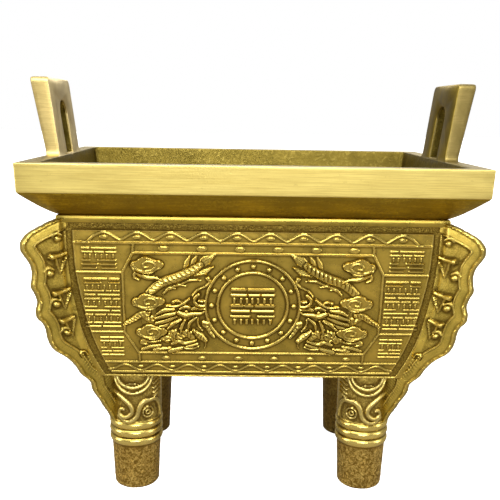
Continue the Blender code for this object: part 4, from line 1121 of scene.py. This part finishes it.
# finishes: the colours of each, and how rough, grainy and uneven it is
finish = {
    # in each finish the darkest colour is used for tarnish specks, for matt grain (also painted shade under
    # the ledge) and for painted shade in hollows; the brightest is used for polish and painted highlight on
    # proud places, and for swirls
    "cast": {"gold": (0.74, 0.54, 0.105), "olive": (0.50, 0.38, 0.075), "tarnish": (0.085, 0.048, 0.006),
             "bright": (0.93, 0.76, 0.24), "rough": 0.30, "grain": 0.5, "bump": 0.4},
    "cove": {"gold": (0.62, 0.45, 0.05), "olive": (0.30, 0.21, 0.022), "tarnish": (0.07, 0.036, 0.004),
             "mottle": (0.34, 0.235, 0.026),
             "bright": (0.7, 0.5, 0.1), "rough": 0.30, "grain": 0.9, "bump": 0.2},
    "rim": {"gold": (0.92, 0.78, 0.275), "olive": (0.86, 0.72, 0.24), "tarnish": (0.40, 0.27, 0.05),
            "line": (0.68, 0.53, 0.15),
            "bright": (0.95, 0.80, 0.33), "rough": 0.42, "grain": 0.3, "bump": 0.1},
    # the inside is far darker than the cast outside: painted shade, on a rougher, grainier cast finish
    "inside": {"gold": (0.20, 0.15, 0.028), "olive": (0.12, 0.09, 0.016), "tarnish": (0.07, 0.045, 0.008),
               "bright": (0.40, 0.31, 0.075), "rough": 0.40, "grain": 0.8, "bump": 0.8},
    "foot": {"gold": (1.0, 0.80, 0.27), "olive": (0.95, 0.68, 0.18), "tarnish": (0.30, 0.17, 0.03),
             "mottle": (0.25, 0.155, 0.028),
             "bright": (1.0, 0.80, 0.3), "rough": 0.40, "grain": 0.7, "bump": 1.0},
}


class Nodes:
    def __init__(self, name):
        self.material = bpy.data.materials.new(name)
        self.material.use_nodes = True
        self.tree = self.material.node_tree
        self.shader = self.tree.nodes["Principled BSDF"]
        self.place = self.add("ShaderNodeTexCoord").outputs["Object"]

    def add(self, kind, **values):
        node = self.tree.nodes.new(kind)
        for key, value in values.items():
            setattr(node, key, value)
        return node

    def link(self, a, b):
        self.tree.links.new(a, b)

    # noise with a lump size in millimetres, stretched by three factors
    def noise(self, size, stretch=(1, 1, 1), detail=3.0, rough=0.55, warp=0.0):
        mapping = self.add("ShaderNodeMapping")
        self.link(self.place, mapping.inputs["Vector"])
        mapping.inputs["Scale"].default_value = [1 / (size * 0.001 * s) for s in stretch]
        node = self.add("ShaderNodeTexNoise")
        self.link(mapping.outputs["Vector"], node.inputs["Vector"])
        node.inputs["Scale"].default_value = 1.0
        node.inputs["Detail"].default_value = detail
        node.inputs["Roughness"].default_value = rough
        node.inputs["Distortion"].default_value = warp
        return node.outputs["Fac"]

    def ramp(self, value, low, high):
        node = self.add("ShaderNodeMapRange")
        node.inputs["From Min"].default_value = low
        node.inputs["From Max"].default_value = high
        self.link(value, node.inputs["Value"])
        return node.outputs["Result"]

    def mix(self, fac, a, b):
        node = self.add("ShaderNodeMix", data_type="RGBA")
        for socket, value in ((node.inputs[0], fac), (node.inputs[6], a), (node.inputs[7], b)):
            if isinstance(value, tuple):
                socket.default_value = (*value, 1.0)
            elif isinstance(value, float):
                socket.default_value = value
            else:
                self.link(value, socket)
        return node.outputs[2]

    def maths(self, operation, a, b):
        node = self.add("ShaderNodeMath", operation=operation)
        for socket, value in zip(node.inputs, (a, b)):
            if isinstance(value, (int, float)):
                socket.default_value = value
            else:
                self.link(value, socket)
        return node.outputs[0]

    def bump(self, height, strength, distance, under=None):
        node = self.add("ShaderNodeBump")
        node.inputs["Strength"].default_value = strength
        node.inputs["Distance"].default_value = distance * 0.001
        self.link(height, node.inputs["Height"])
        if under is not None:
            self.link(under, node.inputs["Normal"])
        return node.outputs["Normal"]


# what the finishes share: sizes of lumps in millimetres, ranges of the noise as (from, to), and how
# much of a colour, of roughness or of depth comes with each
mixture = {
    "broad": 26, "broadRange": (0.35, 0.68), "blotch": 6.5, "blotchRange": (0.38, 0.66),
    "speck": 1.7, "speckRange": (0.60, 0.72), "speckShare": 0.35,
    "fleck": 1.5, "fleckRange": (0.56, 0.44),
    "grainRange": (0.62, 0.42), "grainShare": 0.6, "mattShare": 0.14, "proudShare": 0.4,
    "hollowShare": 0.85, "mattGrain": 1.6, "grainDepth": 0.05,
    "smoother": 0.04, "blotchRough": 0.08, "mattRough": 0.16, "proudSmooth": 0.1,
    "lineRange": (0.42, 0.60), "lineShare": 0.7, "lineBump": 0.5, "lineDepth": 0.06, "lineRough": 0.1,
    "swirl": 3.2, "swirlRange": (0.5, 0.68), "swirlShare": 0.45, "swirlBump": 0.7, "swirlDepth": 0.35,
}


# a brass as nodes: brush is the stretch of fine lines, streak that of the broad lumps
def brassFinish(name, look, brush=None, swirl=False, streak=(1, 1, 1)):
    n = Nodes(name)
    carved = n.add("ShaderNodeAttribute", attribute_name="relief")
    parts = n.add("ShaderNodeSeparateColor")
    n.link(carved.outputs["Color"], parts.inputs["Color"])
    hollow, proud, matt = parts.outputs[0], parts.outputs[1], parts.outputs[2]
    m = mixture
    broad = n.ramp(n.noise(m["broad"], stretch=streak, detail=2.0), *m["broadRange"])
    blotch = n.ramp(n.noise(m["blotch"], stretch=streak, detail=4.0, warp=0.4), *m["blotchRange"])
    fine = n.noise(look["grain"], detail=3.0, rough=0.65)
    cloudy = n.maths("MULTIPLY", n.maths("ADD", broad, blotch), 0.5)
    colour = n.mix(cloudy, look["olive"], look["gold"])
    speck = n.ramp(n.noise(m["speck"], detail=5.0, rough=0.7), *m["speckRange"])
    colour = n.mix(n.maths("MULTIPLY", speck, m["speckShare"]), colour, look["tarnish"])
    grain = n.maths("MULTIPLY", n.ramp(fine, *m["grainRange"]), m["grainShare"])
    grain = n.maths("ADD", grain, m["mattShare"])
    # matt places darkened with their grain towards the darkest colour; under the ledge this is also painted
    # shade
    colour = n.mix(n.maths("MULTIPLY", matt, grain), colour, look["tarnish"])
    # proud places lightened towards the brightest colour: polished wear plus painted highlight
    colour = n.mix(n.maths("MULTIPLY", proud, m["proudShare"]), colour, look["bright"])
    # hollows darkened towards the darkest colour: tarnish plus painted shade
    colour = n.mix(n.maths("MULTIPLY", hollow, m["hollowShare"]), colour, look["tarnish"])
    if "mottle" in look:
        flecks = n.noise(m["fleck"], detail=5.0, rough=0.75, warp=0.6)
        colour = n.mix(n.ramp(flecks, *m["fleckRange"]), colour, look["mottle"])
    height = n.maths("MULTIPLY", fine, n.maths("ADD", n.maths("MULTIPLY", matt, m["mattGrain"]), 1.0))
    rough = n.maths("ADD", n.maths("MULTIPLY", blotch, m["blotchRough"]), look["rough"] - m["smoother"])
    rough = n.maths("ADD", rough, n.maths("MULTIPLY", matt, m["mattRough"]))
    rough = n.maths("SUBTRACT", rough, n.maths("MULTIPLY", proud, m["proudSmooth"]))
    normal = n.bump(height, look["bump"], m["grainDepth"])
    if brush:
        lines = n.noise(1.0, stretch=brush, detail=4.0, rough=0.7)
        normal = n.bump(lines, m["lineBump"], m["lineDepth"], normal)
        lined = n.maths("MULTIPLY", n.ramp(lines, *m["lineRange"]), m["lineShare"])
        colour = n.mix(lined, colour, look.get("line", look["olive"]))
        rough = n.maths("ADD", rough, n.maths("MULTIPLY", lines, m["lineRough"]))
    if swirl:
        waves = n.noise(m["swirl"], detail=5.0, rough=0.6, warp=1.6)
        normal = n.bump(waves, m["swirlBump"], m["swirlDepth"], normal)
        swirled = n.maths("MULTIPLY", n.ramp(waves, *m["swirlRange"]), m["swirlShare"])
        colour = n.mix(swirled, colour, look["bright"])
    n.link(colour, n.shader.inputs["Base Color"])
    n.link(rough, n.shader.inputs["Roughness"])
    n.link(normal, n.shader.inputs["Normal"])
    n.shader.inputs["Metallic"].default_value = 1.0
    return n.material


# one of the looks with some of its values changed
def changed(base, **values):
    return dict(finish[base], **values)


castBrass = brassFinish("castBrass", finish["cast"])
coveBrass = brassFinish("coveBrass", finish["cove"], brush=(14, 14, 0.7), streak=(4, 4, 0.35))
rimBrass = brassFinish("rimBrass", finish["rim"], brush=(22, 22, 0.35), streak=(2.5, 2.5, 0.6))
# inside the mouth and in the handle slots: rough cast with swirls, its colour darkened as painted shade
shadedInsideBrass = brassFinish("shadedInsideBrass", finish["inside"], swirl=True)
# the rim's top face: a darker brown-grey copy of the rim finish, painted shade in place of a darker
# reflection
shadedTopBrass = brassFinish("shadedTopBrass", changed("rim", gold=(0.36, 0.29, 0.13), olive=(0.25, 0.20, 0.08),
                                           line=(0.22, 0.17, 0.07)))
footBrass = brassFinish("footBrass", finish["foot"])
# the ledge: a darker copy of the cast finish, painted shade
shadedLedgeBrass = brassFinish("shadedLedgeBrass", changed("cast", gold=(0.56, 0.41, 0.078), olive=(0.38, 0.29, 0.057)))
flangeBrass = brassFinish("flangeBrass", changed("cast", gold=(0.86, 0.65, 0.13), olive=(0.60, 0.47, 0.09)))
# the back legs: a darker copy of the foot finish, painted shade
shadedBackLegBrass = brassFinish("shadedBackLegBrass", changed("foot", gold=(0.44, 0.31, 0.075),
                                                   olive=(0.28, 0.19, 0.042), mottle=(0.18, 0.115, 0.025)))
legBrass = brassFinish("legBrass", changed("cast", gold=(0.95, 0.74, 0.19), olive=(0.78, 0.6, 0.14),
                                           bright=(1.0, 0.88, 0.38), tarnish=(0.16, 0.10, 0.018),
                                           grain=0.8, bump=0.5))
# the handles by side, -1 is the left one: its edges and outer face, then its inner face. The left one's
# copies are lighter and the right one's darker: painted light and painted shade
litAndShadedHandleLooks = {
    -1: changed("rim", gold=(0.70, 0.56, 0.24), olive=(0.56, 0.45, 0.18), line=(0.46, 0.35, 0.13)),
    1: changed("rim", gold=(0.33, 0.26, 0.095), olive=(0.20, 0.155, 0.05), line=(0.22, 0.17, 0.055)),
}
litAndShadedHandleInnerLooks = {
    -1: changed("inside", gold=(1.0, 0.85, 0.50), olive=(0.80, 0.66, 0.36), bright=(1.0, 0.88, 0.5),
                rough=0.38, bump=0.3),
    1: changed("inside", gold=(0.44, 0.32, 0.06), olive=(0.26, 0.19, 0.035), bright=(0.6, 0.46, 0.12),
               rough=0.34, bump=0.3),
}
sideNames = {-1: "Left", 1: "Right"}
litAndShadedHandleBrass = {}
litAndShadedHandleInnerBrass = {}
for side, word in sideNames.items():
    litAndShadedHandleBrass[side] = brassFinish("handle" + word, litAndShadedHandleLooks[side], brush=(9, 9, 0.45))
    litAndShadedHandleInnerBrass[side] = brassFinish("handleInner" + word, litAndShadedHandleInnerLooks[side], brush=(1.2, 1.2, 14))
print("finishes made")

makeShell()
makeFace("frontFace", carveFront, slab["frontStep"], ("Left", "Right"))
makeFace("backFace", carveBack, slab["backStep"])
makeFace("leftFace", carveSide, slab["sideStep"])
makeFace("rightFace", carveSide, slab["sideStep"])
for xSign, ySign in ((-1, -1), (1, -1), (-1, 1), (1, 1)):
    place = ("front" if ySign < 0 else "back") + sideNames[xSign]
    grid = "frontGrid" if ySign < 0 else "backGrid"
    makeLeg(place + "Leg", xSign, ySign, leg[grid], ySign < 0)
    makeFlange(place + "Flange", (xSign, ySign), flange[grid], ySign < 0)
for side, word in sideNames.items():
    makeHandle(word.lower() + "Handle", side)

# camera, light and a pale floor: the focal length is in pixels of the picture, the angles are in
# radians and the place is in millimetres
view = {
    "focal": 707.925, "pitch": 0.193537, "roll": 0.017198, "yaw": -0.022531,
    "place": (-9.562, -402.724, 204.112), "imageWidth": 500, "sensor": 36, "nearest": 0.01,
}


def placeCamera():
    yaw, pitch, roll = view["yaw"], view["pitch"], view["roll"]
    level = Vector((-math.sin(yaw), math.cos(yaw), 0))
    right = Vector((math.cos(yaw), math.sin(yaw), 0))
    up = Vector((0, 0, 1))
    ahead = level * math.cos(pitch) - up * math.sin(pitch)
    above = level * math.sin(pitch) + up * math.cos(pitch)
    c, s = math.cos(roll), math.sin(roll)
    turned = Matrix((c * right + s * above, c * above - s * right, -ahead)).transposed().to_4x4()
    turned.translation = Vector(view["place"]) * mm
    camera = bpy.data.objects.new("camera", bpy.data.cameras.new("camera"))
    bpy.context.scene.collection.objects.link(camera)
    camera.matrix_world = turned
    camera.data.sensor_width = view["sensor"]
    camera.data.lens = view["sensor"] * view["focal"] / view["imageWidth"]
    camera.data.clip_start = view["nearest"]
    bpy.context.scene.camera = camera


# soft lamps as (place, aim, width, height, power, colour), in metres and watts
lamps = {
    "topSoft": ((-0.15, -0.45, 1.05), (0, 0, 0.12), 1.0, 0.6, 14.0, (1.0, 0.97, 0.9)),
    "frontSoft": ((0.05, -1.40, 0.50), (0, 0, 0.15), 0.8, 0.35, 7.0, (1.0, 0.98, 0.94)),
    "leftSoft": ((-1.10, -0.35, 0.45), (0, 0, 0.12), 0.35, 0.9, 5.0, (1.0, 0.97, 0.92)),
    "rightSoft": ((1.10, -0.45, 0.40), (0, 0, 0.12), 0.3, 0.8, 3.5, (1.0, 0.97, 0.92)),
    "backSoft": ((0.1, 0.9, 0.8), (0, 0, 0.15), 0.9, 0.5, 4.0, (1.0, 0.98, 0.95)),
}


def placeLamps():
    for name, (place, aim, width, height, power, colour) in lamps.items():
        lamp = bpy.data.lights.new(name, "AREA")
        lamp.shape = "RECTANGLE"
        lamp.size = width
        lamp.size_y = height
        lamp.energy = power
        lamp.color = colour
        holder = bpy.data.objects.new(name, lamp)
        bpy.context.scene.collection.objects.link(holder)
        holder.location = place
        holder.rotation_mode = "QUATERNION"
        holder.rotation_quaternion = (Vector(aim) - Vector(place)).to_track_quat("-Z", "Y")


studio = {
    "floorHalf": 6.0, "floorPale": (0.93, 0.93, 0.93), "floorPaler": (0.97, 0.97, 0.97), "floorRough": 0.9,
    "floorDim": (0.26, 0.235, 0.20),
    # the room that the brass mirrors, as (share of the way up, colour)
    "room": ((0.40, (0.06, 0.05, 0.035)), (0.56, (0.33, 0.31, 0.27)), (0.95, (0.9, 0.88, 0.84))),
}


def placeFloor():
    half = studio["floorHalf"]
    mesh = bpy.data.meshes.new("floor")
    mesh.from_pydata([(-half, -half, 0), (half, -half, 0), (half, half, 0), (-half, half, 0)], [],
                     [(0, 1, 2, 3)])
    floor = bpy.data.objects.new("floor", mesh)
    bpy.context.scene.collection.objects.link(floor)
    n = Nodes("paleFloor")
    tint = n.noise(60, detail=2.0)
    n.link(n.mix(tint, studio["floorPale"], studio["floorPaler"]), n.shader.inputs["Base Color"])
    n.shader.inputs["Roughness"].default_value = studio["floorRough"]
    # seen directly the floor is white paper; in the brass it is the dimmer room
    glow = n.add("ShaderNodeEmission")
    dim = n.add("ShaderNodeBsdfDiffuse")
    dim.inputs["Color"].default_value = (*studio["floorDim"], 1)
    ray = n.add("ShaderNodeLightPath")
    seen = n.add("ShaderNodeAddShader")
    n.link(glow.outputs[0], seen.inputs[0])
    n.link(n.shader.outputs[0], seen.inputs[1])
    chosen = n.add("ShaderNodeMixShader")
    n.link(ray.outputs["Is Camera Ray"], chosen.inputs[0])
    n.link(dim.outputs[0], chosen.inputs[1])
    n.link(seen.outputs[0], chosen.inputs[2])
    n.link(chosen.outputs[0], n.tree.nodes["Material Output"].inputs["Surface"])
    mesh.materials.append(n.material)


def makeWorld():
    world = bpy.data.worlds.new("studio")
    bpy.context.scene.world = world
    world.use_nodes = True
    add = world.node_tree.nodes.new
    link = world.node_tree.links.new
    back = world.node_tree.nodes["Background"]
    place = add("ShaderNodeTexCoord")
    split = add("ShaderNodeSeparateXYZ")
    link(place.outputs["Generated"], split.inputs[0])
    fade = add("ShaderNodeValToRGB")
    steps = fade.color_ramp.elements
    low, middle, high = studio["room"]
    for step, (share, colour) in zip(steps, (low, high)):
        step.position = share
        step.color = (*colour, 1)
    steps.new(middle[0]).color = (*middle[1], 1)
    shift = add("ShaderNodeMath")
    shift.operation = "MULTIPLY_ADD"
    shift.inputs[1].default_value = 0.5
    shift.inputs[2].default_value = 0.5
    link(split.outputs["Z"], shift.inputs[0])
    link(shift.outputs[0], fade.inputs[0])
    ray = add("ShaderNodeLightPath")
    chosen = add("ShaderNodeMix")
    chosen.data_type = "RGBA"
    link(ray.outputs["Is Camera Ray"], chosen.inputs[0])
    link(fade.outputs[0], chosen.inputs[6])
    chosen.inputs[7].default_value = (1, 1, 1, 1)
    link(chosen.outputs[2], back.inputs["Color"])
    back.inputs["Strength"].default_value = 1.0


placeCamera()
placeLamps()
placeFloor()
makeWorld()
settings = bpy.context.scene.view_settings
settings.view_transform = "Standard"
settings.look = "None"
settings.exposure = 0.0
print("camera, lamps and floor placed")

print("all pieces:", len(pieces), "faces:", sum(len(piece.data.polygons) for piece in pieces))
